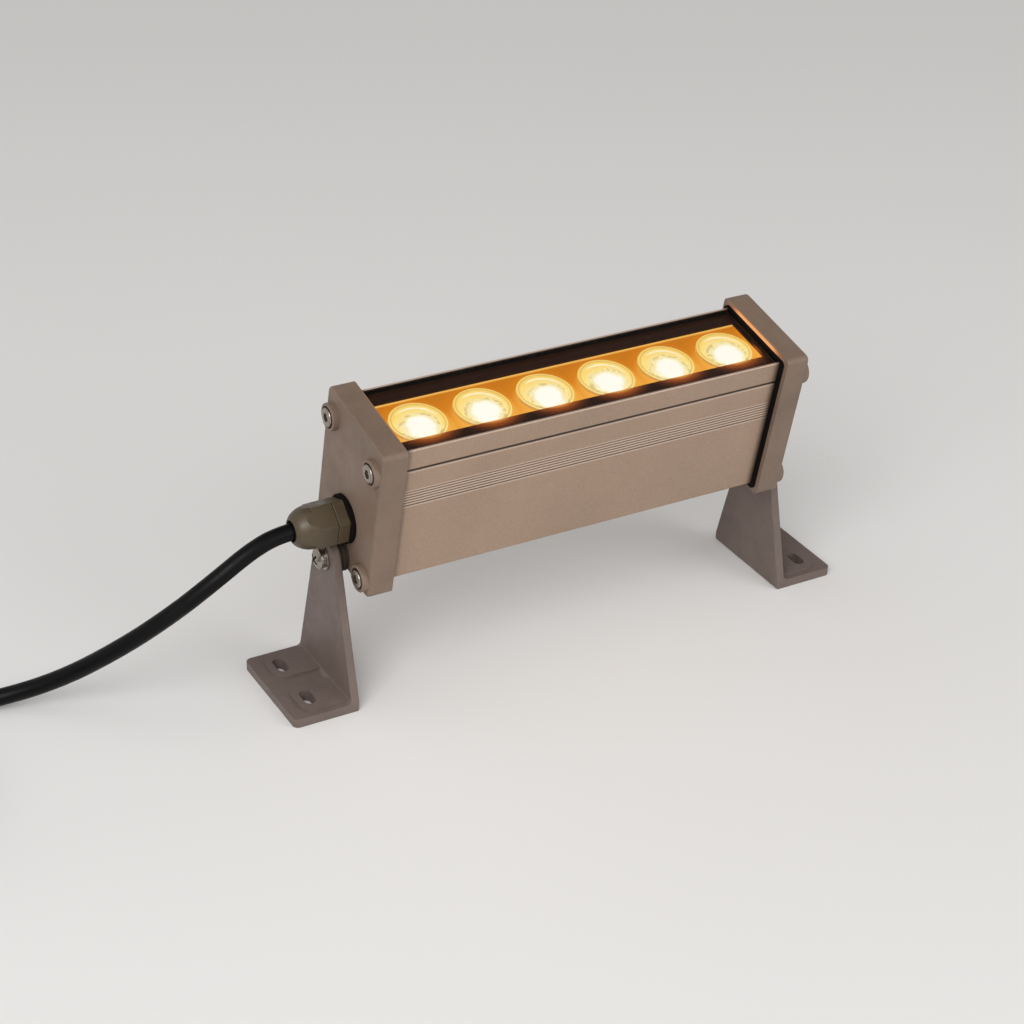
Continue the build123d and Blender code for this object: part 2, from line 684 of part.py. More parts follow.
def pivot_hardware(side, hand):
    """The spacer, the flat washer, the spring washer and the cross-recess screw of one pivot."""
    play = 0.02
    washer_thick = 0.8
    spring_thick = 1.1
    hole_r = PIVOT_R + 0.1
    washer_in = ARM_OUT + play
    spring_in = washer_in + washer_thick
    head_in = spring_in + spring_thick
    head_side = 1.1
    head_high = 2.8
    with BuildPart() as spacer:
        with Locations(end_plane(side, CAP_OUT)):
            Cylinder(SPACER_R, ARM_IN - play - CAP_OUT, align=STANDING)
            Cylinder(hole_r, ARM_IN - CAP_OUT, align=STANDING, mode=Mode.SUBTRACT)
    spacer.part.label = f"pivot_spacer_{hand}"
    export_step(spacer.part, f"parts/pivot_spacer_{hand}.step")

    with BuildPart() as washer:
        with Locations(end_plane(side, washer_in)):
            Cylinder(WASHER_R, washer_thick, align=STANDING)
            Cylinder(hole_r, washer_thick, align=STANDING, mode=Mode.SUBTRACT)
    washer.part.label = f"pivot_washer_{hand}"
    export_step(washer.part, f"parts/pivot_washer_{hand}.step")

    with BuildPart() as spring:
        with Locations(end_plane(side, spring_in)):
            Cylinder(LOCK_WASHER_R, spring_thick, align=STANDING)
            Cylinder(hole_r, spring_thick, align=STANDING, mode=Mode.SUBTRACT)
        with BuildSketch(end_plane(side, spring_in)):
            with Locations((LOCK_WASHER_R - 0.8, 0)):
                Rectangle(3, 0.6, rotation=12)
        extrude(amount=spring_thick, mode=Mode.SUBTRACT)
    spring.part.label = f"pivot_lock_washer_{hand}"
    export_step(spring.part, f"parts/pivot_lock_washer_{hand}.step")

    with BuildPart() as screw:
        plane = turning_plane(side)
        with BuildSketch(plane):
            with BuildLine():
                Polyline(
                    (head_in + head_high, 0),
                    (PIVOT_SCREW_END, 0),
                    (PIVOT_SCREW_END, PIVOT_R),
                    (head_in, PIVOT_R),
                    (head_in, PIVOT_HEAD_R),
                    (head_in + head_side, PIVOT_HEAD_R),
                )
                TangentArc((head_in + head_high, 0), (head_in + head_side, PIVOT_HEAD_R), tangent=(0, 1))
            make_face()
        revolve(axis=Axis(plane.origin, plane.x_dir))
        with BuildSketch(end_plane(side, head_in + head_high)):
            Rectangle(5.0, 1.1, rotation=25)
            Rectangle(1.1, 5.0, rotation=25)
        extrude(amount=-1.9, mode=Mode.SUBTRACT)
    screw.part.label = f"pivot_screw_{hand}"
    export_step(screw.part, f"parts/pivot_screw_{hand}.step")


# ------------------------------------------------------------------ cable, from the gland to its bare end
def lead_points():
    """The route from the gland's seal down to the floor and to the start of the coil."""
    start = lamp_point(-CABLE_EXIT_OUT, 0, GLAND_V)
    turns = [Vector(x, y + PIVOT_Y, z) for x, y, z in LEAD_TURNS]
    end = Vector(COIL_X + 2 * CABLE_R, COIL_Y + COIL_R + PIVOT_Y, CABLE_Z)
    return [start, start - Vector(EXIT_RUN, 0, 0), *turns, end]


def widest_radii(points):
    """At each turn, 0.45 of the shorter run over the tangent of half the turn."""
    radii = []
    for before, here, after in zip(points, points[1:], points[2:]):
        half_turn = radians((here - before).get_angle(after - here)) / 2
        shorter = min((here - before).length, (after - here).length)
        radii.append(0.45 * shorter / tan(half_turn))
    return radii


def compare_volume(name, tube, line):
    """Prints a tube's volume beside its section times its length."""
    expected = pi * CABLE_R**2 * line.length
    print(name, "length", round(line.length, 1), "volume", round(tube.volume), "expected", round(expected))


def cable_lead():
    """The free stretch of the cable between the gland and the coil."""
    points = lead_points()
    radii = widest_radii(points)
    with BuildPart() as lead:
        line = wire(points, radii, CABLE_R)
    lead.part.label = "cable_lead"
    export_step(lead.part, "parts/cable_lead.step")
    print("lead radii", [round(radius, 1) for radius in radii])
    compare_volume("lead", lead.part, line)
    return line.length


def coil_line():
    """Half turns that wind in on the floor, climb a layer at the inside and wind out again."""
    inwards = [COIL_R - COIL_STEP / 2 * i for i in range(COIL_HALVES)]
    climb_r = COIL_R - COIL_STEP / 2 * COIL_HALVES
    x = COIL_X
    y = COIL_Y + COIL_R + PIVOT_Y
    z = CABLE_Z
    heading = -1  # the first half turn goes round the far side of -X, towards -Y
    Line((x + 2 * CABLE_R, y, z), (x, y, z))
    for radius in [*inwards, climb_r, *inwards[:0:-1]]:
        middle_y = y + heading * radius
        if radius == climb_r:
            reach = sqrt(radius**2 + (COIL_STEP / 2) ** 2)
            half_way = (x + heading * reach, middle_y, z + COIL_STEP / 2)
            climb = TangentArc((x, y, z), half_way, tangent=(heading, 0, 0))
            z += COIL_STEP
            TangentArc(half_way, (x, middle_y + heading * radius, z), tangent=climb % 1)
        else:
            ThreePointArc((x, y, z), (x + heading * radius, middle_y, z), (x, middle_y + heading * radius, z))
        y = middle_y + heading * radius
        heading = -heading
    last = ThreePointArc(
        (x, y, z),
        (x - COIL_R * sin(pi / 4), y - COIL_R * (1 - cos(pi / 4)), z),
        (x - COIL_R, y - COIL_R, z),
    )
    end = last @ 1
    Line(end, end - Vector(0, 2 * CABLE_R, 0))


def least_gap(line):
    """The least gap of a wound tube to itself, between points about 2 mm apart along its line."""
    count = round(line.length / 2)
    spots = [line @ (i / count) for i in range(count + 1)]
    skip = round(3 * CABLE_R * pi / 2)  # the next stretch of the same turn isn't a neighbour
    distances = [
        (spots[i] - spots[j]).length for i in range(count + 1) for j in range(i + skip, count + 1)
    ]
    return min(distances) - 2 * CABLE_R


def cable_coil():
    """The coil that lies on the floor, one unbroken tube in two layers."""
    with BuildPart() as coil:
        with BuildLine() as run:
            coil_line()
        path = run.wire()
        with BuildSketch(Plane(origin=path @ 0, z_dir=path % 0)):
            Circle(CABLE_R)
        sweep()
    coil.part.label = "cable_coil"
    export_step(coil.part, "parts/cable_coil.step")
    compare_volume("coil", coil.part, path)
    print("least gap", round(least_gap(path), 2))
    return path


def bare_end(end):
    """The three cores that leave the stripped jacket and reach the floor, with a ferrule on each."""
    core_r = 1.1
    ferrule_r = 1.5
    ferrule_long = 12.0
    floor_z = ferrule_r + 0.05
    with BuildPart() as cores:
        tips = []
        for fan in (-1, 0, 1):
            start = end + Vector(1.5 * fan, 0, 1.1 if fan == 0 else -1.1)
            points = [
                start,
                start - Vector(0, 9, 0),
                Vector(end.X + 3.2 * fan, end.Y - 24, end.Z / 2),
                Vector(end.X + 4.4 * fan, end.Y - 38, floor_z),
                Vector(end.X + 5.0 * fan, end.Y - 52, floor_z),
            ]
            wire(points, widest_radii(points), core_r)
            tips.append(Plane(origin=points[-1], z_dir=points[-1] - points[-2]))
    cores.part.label = "cable_cores"
    export_step(cores.part, "parts/cable_cores.step")

    with BuildPart() as ferrules:
        with Locations(*tips):
            Cylinder(ferrule_r, ferrule_long, align=STANDING)
    ferrules.part.label = "cable_ferrules"
    export_step(ferrules.part, "parts/cable_ferrules.step")


# ------------------------------------------------------------------ build every piece
housing()
glass_cover()
glass_seal()
lens_tray()
led_board()
board_screws()
for index, place in enumerate(LED_PLACES, start=1):
    lens(index, place)
    led(index, place)
driver_board()
driver_parts()
terminal_block()
led_wires()
supply_wires()
gland_body()
gland_nut()
gland_rubber()
gland_locknut()
cable_entry()
for end_side, end_hand in SIDES:
    end_cap(end_side, end_hand)
    end_gasket(end_side, end_hand)
    cap_screws(end_side, end_hand)
    bracket(end_side, end_hand)
    pivot_hardware(end_side, end_hand)
lead_length = cable_lead()
coil = cable_coil()
bare_end(coil @ 1)
print("cable length", round(lead_length + coil.length), "mm")
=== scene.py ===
"""An outdoor wall washer light: its finishes, its cable and its hand-modelled pieces, in a plain studio.

The frame is in metres, with +X along the lamp and +Z up. Across the lamp, u runs from the front face to the
back face and v from the turning axis up to the glass, and "out" is a distance from the lamp's middle. Sizes
of pieces are in millimetres. A piece of both ends is modelled once, for the right end, and mirrored.
"""

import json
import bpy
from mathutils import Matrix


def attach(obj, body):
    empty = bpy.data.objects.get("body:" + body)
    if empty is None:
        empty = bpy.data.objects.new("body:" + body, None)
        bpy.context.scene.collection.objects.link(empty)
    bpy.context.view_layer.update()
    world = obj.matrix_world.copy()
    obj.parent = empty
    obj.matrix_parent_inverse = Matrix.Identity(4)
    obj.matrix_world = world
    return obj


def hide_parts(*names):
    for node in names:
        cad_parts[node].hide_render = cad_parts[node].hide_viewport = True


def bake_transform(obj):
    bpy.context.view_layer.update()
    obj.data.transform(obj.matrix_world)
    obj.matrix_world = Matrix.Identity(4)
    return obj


bl_info = {
    "name": "Wall Washer Light",
    "version": (1, 0, 0),
    "blender": (4, 5, 0),
    "location": "View3D > Sidebar > Wall Washer",
    "description": "Builds the looks of a short outdoor wall washer light on two tilting feet",
    "category": "Object",
}

from contextlib import contextmanager
from math import cos, pi, radians, sin, sqrt

import bmesh
import bpy
from bpy.props import FloatProperty, FloatVectorProperty, IntProperty, PointerProperty
from bpy.types import Operator, Panel, PropertyGroup
from mathutils import Matrix, Vector

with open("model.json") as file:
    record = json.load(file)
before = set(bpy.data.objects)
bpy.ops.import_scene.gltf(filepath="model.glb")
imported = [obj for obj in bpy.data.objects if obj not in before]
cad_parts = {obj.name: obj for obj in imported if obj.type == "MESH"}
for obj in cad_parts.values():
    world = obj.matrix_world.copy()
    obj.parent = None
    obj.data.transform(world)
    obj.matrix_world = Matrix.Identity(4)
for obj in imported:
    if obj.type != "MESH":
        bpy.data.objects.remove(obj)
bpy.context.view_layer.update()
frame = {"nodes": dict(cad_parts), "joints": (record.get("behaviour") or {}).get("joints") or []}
NODES = frame["nodes"]

# ------------------------------------------------------------------ places, from the frame, in metres
MM = 0.001
TILT = radians(11.3)  # the glass leans this far to the front
PIVOT = Vector(next(joint for joint in frame["joints"] if joint["name"] == "lamp_tilt")["pos_m"])
PIVOT.x = 0.0
LAMP = Matrix.Translation(PIVOT) @ Matrix.Rotation(TILT, 4, "X")  # from (x, u, v) to the frame
FEET = Matrix.Translation((0, PIVOT.y, 0))
LEFT = Matrix.Scale(-1, 4, (1, 0, 0))  # a piece of the right end, turned into one of the left
UPRIGHT = Matrix.Rotation(-pi / 2, 4, "Y")  # a piece turned about X, stood on end

# ------------------------------------------------------------------ sizes of the lamp, in millimetres
CAP_OUT = 100.0
CAP_THICK = 11.0
CAP_IN = CAP_OUT - CAP_THICK
CAP_WIDTH = 50.0
CAP_LOW = -4.9
CAP_TOP = 68.2
CAP_CORNER = 2.5
CAP_EDGE = 1.2
CAP_WALL = 3.5
HOLLOW_WIDTH = 29.0
HOLLOW_LOW = 8.0
HOLLOW_HIGH = 56.0
HOLLOW_CORNER = 2.0
SCREW_POINTS = [(u, v) for u in (-18.8, 18.8) for v in (2.1, 56.8)]
SCREW_HOLE_R = 2.25
BOSS_R = 5.8
BOSS_OUT = 102.5
BOSS_EDGE = 0.5
BORE_R = 4.7
SCREW_SEAT = 100.9
BODY_OUT = 87.8
SEAM_LOW = 54.7
SEAM_HIGH = 56.0
LIP_V = 65.0  # the housing's upper edge starts here
CHANNEL_U = 20.0  # the glass and its seal lie in a channel between these
CHANNEL_V = 52.0
FLUTE_MID = 40.6
FLUTE_PITCH = 1.35
FLUTED_HALF = 3.2 * FLUTE_PITCH
GLASS_V = 64.8  # its upper face
GLASS_THICK = 3.98
GLASS_OUT = 87.3
GLASS_U = 19.7

LED_COUNT = 6
LED_PITCH = 29.15
LED_MID = 1.2  # the row sits this far from the lamp's middle
TRAY_RIM_U = 13.2
TRAY_TOP = 59.3
LENS_FLANGE_R = 12.2

# ------------------------------------------------------------------ sizes of the ends, in millimetres
ARM_IN = 104.32
ARM_OUT = 107.98
EYE_R = 9.3
FOOT_OUT = 133.6
FOOT_HALF = 25.15
FOOT_THICK = 4.0
FOOT_CORNER = 2.5
ARM_EDGE = 0.8
ARM_FILLET = 2.0  # between the arm and the plate
PAD_OUT = 128.0
PAD_WIDE = 18.0
PAD_HIGH = 1.0
PAD_CORNER = 5.0
SLOT_OUT = 122.4
SLOT_Y = 13.2
SLOT_HALF_WIDE = 2.5
SLOT_HALF_LONG = 5.0
PIVOT_R = 2.5
PIVOT_DEEP = 9.0
WASHER_R = PIVOT_R + 0.1
FLAT_WASHER = (ARM_OUT + 0.02, ARM_OUT + 0.82)
SPRING_WASHER = (FLAT_WASHER[1], FLAT_WASHER[1] + 1.1)

GLAND_V = 18.5
GLAND_MOUTH_OUT = 124.0
GLAND_THREAD_R = 7.6
GLAND_STUB_R = 7.0
SEAL_IN = 112.2
SEAL_R = 5.7
FLANGE_OUT = 102.0
NUT_OUT = 107.3
STUB_OUT = 118.0

# ------------------------------------------------------------------ the cable's way, in millimetres
CABLE_R = 3.6
CABLE_Z = CABLE_R + 0.05
CABLE_EXIT_OUT = 118.5
EXIT_RUN = 10.5
COIL_X = -313.0
COIL_Y = 4.0  # from the turning axis
COIL_R = 46.0
COIL_STEP = 2 * CABLE_R + 0.5
TAIL = 2 * CABLE_R  # the coil's first and last straight
COIL_HALVES = 3  # half turns wound inwards before the climb
HALF_TURN_POINTS = 12
LEAD_TURNS = (  # the turns on the way to the coil, from the turning axis
    (-142.0, -5.0, 76.2),
    (-157.0, -5.0, 67.0),
    (-173.0, 1.0, 52.5),
    (-191.0, 12.5, 35.0),
    (-212.0, 30.5, 14.8),
    (-237.0, 44.5, CABLE_Z),
    (-272.0, COIL_Y + COIL_R, CABLE_Z),
)
CORE_R = 1.1
FERRULE_R = 1.5


# ------------------------------------------------------------------ sizes and colours that can be changed
class WasherFinish(PropertyGroup):
    """Colours and gloss of the light."""

    paint: FloatVectorProperty(
        name="Cast paint",
        description="Paint of the end caps and the feet",
        subtype="COLOR",
        default=(0.178, 0.124, 0.092),
    )
    anodised: FloatVectorProperty(
        name="Anodised skin",
        description="Skin of the extruded housing",
        subtype="COLOR",
        default=(0.368, 0.260, 0.190),
    )
    nylon: FloatVectorProperty(
        name="Gland nylon",
        description="Nylon of the cable gland",
        subtype="COLOR",
        default=(0.064, 0.044, 0.022),
    )
    lens_glow: FloatVectorProperty(
        name="Lens glow",
        description="Pale yellow light of a lens round its white middle",
        subtype="COLOR",
        default=(1.0, 0.68, 0.17),
    )
    tray_glow: FloatVectorProperty(
        name="Tray glow",
        description="Light on the tray between the lenses",
        subtype="COLOR",
        default=(0.70, 0.215, 0.008),
    )
    glow_strength: FloatProperty(
        name="Glow strength",
        description="How brightly the lenses and the tray shine",
        default=1.0,
        min=0.0,
        soft_max=4.0,
    )


class WasherSizes(PropertyGroup):
    """Sizes and counts used in modelling the pieces."""

    sides: IntProperty(
        name="Round sides",
        description="Sides of a turned piece",
        default=64,
        min=16,
        max=128,
    )
    cable_diameter: FloatProperty(
        name="Cable diameter",
        description="Outer diameter of the cable's jacket",
        default=2 * CABLE_R * MM,
        unit="LENGTH",
    )


class WasherStudio(PropertyGroup):
    """The floor, the lamps and the camera."""

    floor: FloatVectorProperty(
        name="Floor",
        description="Colour of the plain floor",
        subtype="COLOR",
        default=(0.78, 0.77, 0.76),
    )
    key_power: FloatProperty(
        name="Key lamp",
        description="Power of the large soft lamp at the upper left",
        default=18.0,
        unit="POWER",
    )
    fill_power: FloatProperty(
        name="Fill lamp",
        description="Power of the soft lamp at the front right",
        default=7.0,
        unit="POWER",
    )
    sky_level: FloatProperty(
        name="Surroundings",
        description="Level of the pale surroundings",
        default=0.66,
        min=0.0,
        soft_max=1.0,
    )
    lens: FloatProperty(
        name="Camera lens",
        description="Focal length of the camera in millimetres",
        default=84.23,
    )


# ------------------------------------------------------------------ selecting and placing
def clear_selection():
    """Goes back to object mode with nothing selected."""
    if bpy.context.mode != "OBJECT":
        bpy.ops.object.mode_set(mode="OBJECT")
    bpy.ops.object.select_all(action="DESELECT")


def pick(*pieces):
    """Selects these pieces alone, the last one active."""
    clear_selection()
    for piece in pieces:
        piece.select_set(True)
        bpy.context.view_layer.objects.active = piece


def named(name):
    """Names the object that was just added, and puts its origin at the frame's."""
    piece = bpy.context.active_object
    piece.name = name
    piece.data.name = name
    bpy.ops.object.transform_apply(location=True, rotation=True, scale=True)
    return piece


@contextmanager
def editing(piece, kind="VERT"):
    """Edit mode on one piece, in vertex, edge or face mode, with nothing selected in it."""
    pick(piece)
    bpy.ops.object.mode_set(mode="EDIT")
    bpy.ops.mesh.select_mode(type=kind)
    bpy.ops.mesh.select_all(action="DESELECT")
    yield
    bpy.ops.object.mode_set(mode="OBJECT")


def select_faces(piece, wanted):
    """In edit mode, selects the faces whose middle and normal pass the test."""
    mesh = bmesh.from_edit_mesh(piece.data)
    for face in mesh.faces:
        face.select_set(wanted(face.calc_center_median() / MM, face.normal))
    mesh.select_flush_mode()
    bmesh.update_edit_mesh(piece.data)


def select_edges(piece, wanted):
    """In edit mode, selects the edges whose two ends pass the test."""
    mesh = bmesh.from_edit_mesh(piece.data)
    for edge in mesh.edges:
        edge.select_set(wanted(*[end.co / MM for end in edge.verts]))
    mesh.select_flush_mode()
    bmesh.update_edit_mesh(piece.data)


def along(axis):
    """A test for edges that run along the axis, 0, 1 or 2."""
    return lambda a, b: (a - b).length - abs(a[axis] - b[axis]) < 1e-3


def bevel(width, segments):
    """Rounds the selected edges."""
    bpy.ops.mesh.bevel(offset=width * MM, offset_type="OFFSET", segments=segments, profile=0.5)


def put(piece, matrix):
    """Moves the piece's mesh by the matrix, and leaves its object at the origin."""
    pick(piece)
    piece.matrix_world = matrix
    bpy.ops.object.transform_apply(location=True, rotation=True, scale=True)
    if matrix.determinant() < 0:
        with editing(piece):
            bpy.ops.mesh.select_all(action="SELECT")
            bpy.ops.mesh.normals_make_consistent(inside=False)
    return piece


def copy_of(piece, name):
    """A copy with a mesh of its own."""
    pick(piece)
    bpy.ops.object.duplicate()
    copy = bpy.context.active_object
    copy.name = name
    copy.data.name = name
    return copy


def joined(name, *pieces):
    """Several pieces as one object."""
    pick(*pieces)
    bpy.ops.object.join()
    piece = bpy.context.active_object
    piece.name = name
    piece.data.name = name
    return piece


def smooth(piece, angle=30):
    """Smooth shading up to that angle between faces, in degrees, with normals weighted by face area."""
    pick(piece)
    bpy.ops.object.shade_smooth_by_angle(angle=radians(angle))
    bpy.ops.object.modifier_add(type="WEIGHTED_NORMAL")
    piece.modifiers[-1].keep_sharp = True
    bpy.ops.object.modifier_apply(modifier=piece.modifiers[-1].name)
    return piece


def soften(piece, width, segments=2, angle=30):
    """Rounds every edge that is sharper than the angle, in degrees."""
    pick(piece)
    bpy.ops.object.modifier_add(type="BEVEL")
    rounding = piece.modifiers[-1]
    rounding.width = width * MM
    rounding.segments = segments
    rounding.limit_method = "ANGLE"
    rounding.angle_limit = radians(angle)
    bpy.ops.object.modifier_apply(modifier=rounding.name)
    return piece


def remove(piece):
    """Deletes a piece that was only a tool or a pattern."""
    pick(piece)
    bpy.ops.object.delete()


def boolean(piece, tool, operation="DIFFERENCE"):
    """Cuts the tool from the piece, or adds it, or keeps what both hold, and removes the tool."""
    pick(piece)
    bpy.ops.object.modifier_add(type="BOOLEAN")
    change = piece.modifiers[-1]
    change.object = tool
    change.operation = operation
    change.solver = "EXACT"
    bpy.ops.object.modifier_apply(modifier=change.name)
    remove(tool)
    return piece


# ------------------------------------------------------------------ starting shapes, sizes in millimetres
def block(name, low, high):
    """A block between two corners."""
    low, high = Vector(low) * MM, Vector(high) * MM
    bpy.ops.mesh.primitive_cube_add(size=1, location=(low + high) / 2)
    bpy.context.active_object.scale = high - low
    return named(name)


def rod(name, sides, radius, start, end, u=0.0, v=0.0):
    """A rod along X; one with six sides has corners to the front and the back."""
    middle = Vector(((start + end) / 2, u, v)) * MM
    bpy.ops.mesh.primitive_cylinder_add(
        vertices=sides,
        radius=radius * MM,
        depth=(end - start) * MM,
        location=middle,
        rotation=(pi / 2, 0, pi / 2),
    )
    return named(name)


def turned(name, outline, sides=None, ring=False):
    """Turns an outline of (out, radius) points about X; a ring's outline closes on itself."""
    bpy.ops.mesh.primitive_plane_add(size=MM)
    piece = named(name)
    points = [Vector((out, 0, radius)) * MM for out, radius in outline]
    with editing(piece):
        bpy.ops.mesh.select_all(action="SELECT")
        bpy.ops.mesh.merge(type="CENTER")
        bpy.ops.transform.translate(value=points[0])
        for before, here in zip(points, points[1:]):
            bpy.ops.mesh.extrude_vertices_move(TRANSFORM_OT_translate={"value": here - before})
        bpy.ops.mesh.select_all(action="SELECT")
        if ring:
            mesh = bmesh.from_edit_mesh(piece.data)
            for vertex in mesh.verts:
                vertex.select_set(len(vertex.link_edges) == 1)
            bmesh.update_edit_mesh(piece.data)
            bpy.ops.mesh.edge_face_add()
            bpy.ops.mesh.select_all(action="SELECT")
        steps = sides or bpy.context.scene.washer_sizes.sides
        bpy.ops.mesh.spin(steps=steps, angle=2 * pi, center=(0, 0, 0), axis=(1, 0, 0))
        bpy.ops.mesh.select_all(action="SELECT")
        bpy.ops.mesh.remove_doubles(threshold=0.001 * MM)
        bpy.ops.mesh.normals_make_consistent(inside=False)
    return piece


def arc(middle, radius, start, end, count):
    """Points (out, radius) on an arc between two angles in degrees, 0 outwards and 90 away from the axis."""
    angles = [radians(start + (end - start) * i / count) for i in range(count + 1)]
    return [(middle[0] + radius * cos(angle), middle[1] + radius * sin(angle)) for angle in angles]


def hex_radius(across_flats):
    """A hexagon's corner radius."""
    return across_flats / sqrt(3)


# ------------------------------------------------------------------ dressing
def dressed(piece, body, finish, slot, *replaced):
    """Gives a finished piece its material and body and hides the nodes it stands for; the slot is not used.
    """
    piece.data.materials.clear()
    piece.data.materials.append(finish)
    if body:
        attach(piece, body)
    if replaced:
        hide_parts(*replaced)
    return piece


def both_ends(piece, place_of, finish, slot, stands_for, body="lamp"):
    """Sets a finished piece at the right end and its mirror image at the left."""
    other = put(copy_of(piece, f"{piece.name}_left"), place_of @ LEFT)
    own = put(piece, place_of)
    own.name = f"{own.name}_right"
    for hand, made in (("left", other), ("right", own)):
        dressed(smooth(made), body.format(hand), finish, slot, f"{stands_for}_{hand}")


def paint_nodes(finish, *names):
    """Gives nodes of the frame, which keep their own meshes, a material."""
    for name in names:
        mesh = NODES[name].data
        mesh.materials.clear()
        mesh.materials.append(finish)


def fair_copy(node, name):
    """A copy of a node with its triangles merged into whole faces, smoothly shaded."""
    piece = bpy.data.objects.new(name, NODES[node].data.copy())
    bpy.context.scene.collection.objects.link(piece)
    with editing(piece):
        bpy.ops.mesh.select_all(action="SELECT")
        bpy.ops.mesh.remove_doubles(threshold=0.002 * MM)
        bpy.ops.mesh.dissolve_limited(angle_limit=radians(0.5))
    return smooth(piece)


# ------------------------------------------------------------------ building materials
def new_material(name, colour, roughness, metallic=0.0, **sockets):
    """A Principled material, with what is even over the surface set on the shader itself."""
    finish = bpy.data.materials.new(name)
    finish.use_nodes = True
    shader = finish.node_tree.nodes["Principled BSDF"]
    shader.inputs["Base Color"].default_value = (*colour, 1.0)
    shader.inputs["Roughness"].default_value = roughness
    shader.inputs["Metallic"].default_value = metallic
    for socket, value in sockets.items():
        shader.inputs[socket.replace("_", " ")].default_value = value
    return finish, shader


def node(finish, kind, *inputs, **settings):
    """Adds a node, with its settings, and joins or sets its first inputs; None leaves one alone."""
    made = finish.node_tree.nodes.new(f"ShaderNode{kind}")
    for name, value in settings.items():
        setattr(made, name, value)
    for socket, value in zip(made.inputs, inputs):
        if isinstance(value, bpy.types.NodeSocket):
            finish.node_tree.links.new(value, socket)
        elif value is not None:
            socket.default_value = value
    return made


def place(finish, scale=(1, 1, 1)):
    """The object's own coordinates, stretched."""
    coordinates = node(finish, "TexCoord")
    return node(finish, "Mapping", coordinates.outputs["Object"], None, None, scale).outputs["Vector"]


def lamp_place(finish):
    """Coordinates along the lamp, across it and up to its glass, as (x, u, v)."""
    coordinates = node(finish, "TexCoord")
    mapping = node(finish, "Mapping", coordinates.outputs["Object"], vector_type="TEXTURE")
    mapping.inputs["Location"].default_value = PIVOT
    mapping.inputs["Rotation"].default_value = (TILT, 0, 0)
    return mapping.outputs["Vector"]


def noise(finish, where, scale, detail=3.0, roughness=0.55):
    """Noise from 0 to 1."""
    return node(finish, "TexNoise", where, None, scale, detail, roughness).outputs["Fac"]


def spread(finish, value, low, high, floor=0.0, ceiling=1.0):
    """Brings a value from the range low to high into the range floor to ceiling."""
    return node(finish, "MapRange", value, low, high, floor, ceiling).outputs["Result"]


def calc(finish, operation, *values):
    """One step of arithmetic."""
    return node(finish, "Math", *values, operation=operation).outputs["Value"]


def blended(finish, share, first, second):
    """The first colour where the share is 0, the second where it is 1."""
    made = node(finish, "Mix", data_type="RGBA")
    for socket, value in (("Factor_Float", share), ("A_Color", first), ("B_Color", second)):
        target = next(s for s in made.inputs if s.identifier == socket)
        if isinstance(value, bpy.types.NodeSocket):
            finish.node_tree.links.new(value, target)
        else:
            target.default_value = (*value, 1.0)
    return next(s for s in made.outputs if s.identifier == "Result_Color")


def band(finish, value, low, high, soft):
    """1 between two places, in millimetres, and 0 outside them, with soft edges."""
    up = spread(finish, value, (low - soft) * MM, (low + soft) * MM)
    down = spread(finish, value, (high - soft) * MM, (high + soft) * MM)
    return calc(finish, "SUBTRACT", up, down)


def ramp(finish, value, stops):
    """Colours along a value, from stops of (position, (red, green, blue))."""
    made = node(finish, "ValToRGB", value)
    elements = made.color_ramp.elements
    while len(elements) < len(stops):
        elements.new(0.5)
    for element, (position, colour) in zip(elements, stops):
        element.position = position
        element.color = (*colour, 1.0)
    return made.outputs["Color"]


def shades(colour, *factors):
    """Lighter and darker shades of one colour, spaced evenly as ramp stops."""
    last = max(len(factors) - 1, 1)
    return [(i / last, tuple(min(part * f, 1.0) for part in colour)) for i, f in enumerate(factors)]


def join(finish, output, shader, socket):
    """Links an output to a socket of the shader."""
    finish.node_tree.links.new(output, shader.inputs[socket])


def bump(finish, height, shader, depth, strength=1.0, under=None):
    """Relief of that depth in millimetres, over another relief."""
    made = node(finish, "Bump")
    made.inputs["Strength"].default_value = strength
    made.inputs["Distance"].default_value = depth * MM
    finish.node_tree.links.new(height, made.inputs["Height"])
    if under:
        finish.node_tree.links.new(under, made.inputs["Normal"])
    join(finish, made.outputs["Normal"], shader, "Normal")
    return made.outputs["Normal"]


def product(finish, first, *others):
    """All the values multiplied."""
    for other in others:
        first = calc(finish, "MULTIPLY", first, other)
    return first


def largest(finish, first, *others):
    """The largest of the values."""
    for other in others:
        first = calc(finish, "MAXIMUM", first, other)
    return first


def opposite(finish, value):
    """1 where the value is 0, and 0 where it is 1."""
    return calc(finish, "SUBTRACT", 1.0, value)


def size_of(finish, value):
    """The value without its sign."""
    return calc(finish, "ABSOLUTE", value)


def tint(finish, shader, tone, colour, *factors):
    """Colours the surface in shades that follow a tone from 0 to 1."""
    join(finish, ramp(finish, tone, shades(colour, *factors)), shader, "Base Color")


def sheen(finish, shader, tone, smoothest, roughest):
    """Varies the roughness between two levels with a noise."""
    join(finish, spread(finish, tone, 0.3, 0.7, smoothest, roughest), shader, "Roughness")


def shine(finish, shader, glow):
    """Makes the surface shine in that colour, at the strength that is set."""
    join(finish, glow, shader, "Emission Color")
    shader.inputs["Emission Strength"].default_value = bpy.context.scene.washer_finish.glow_strength


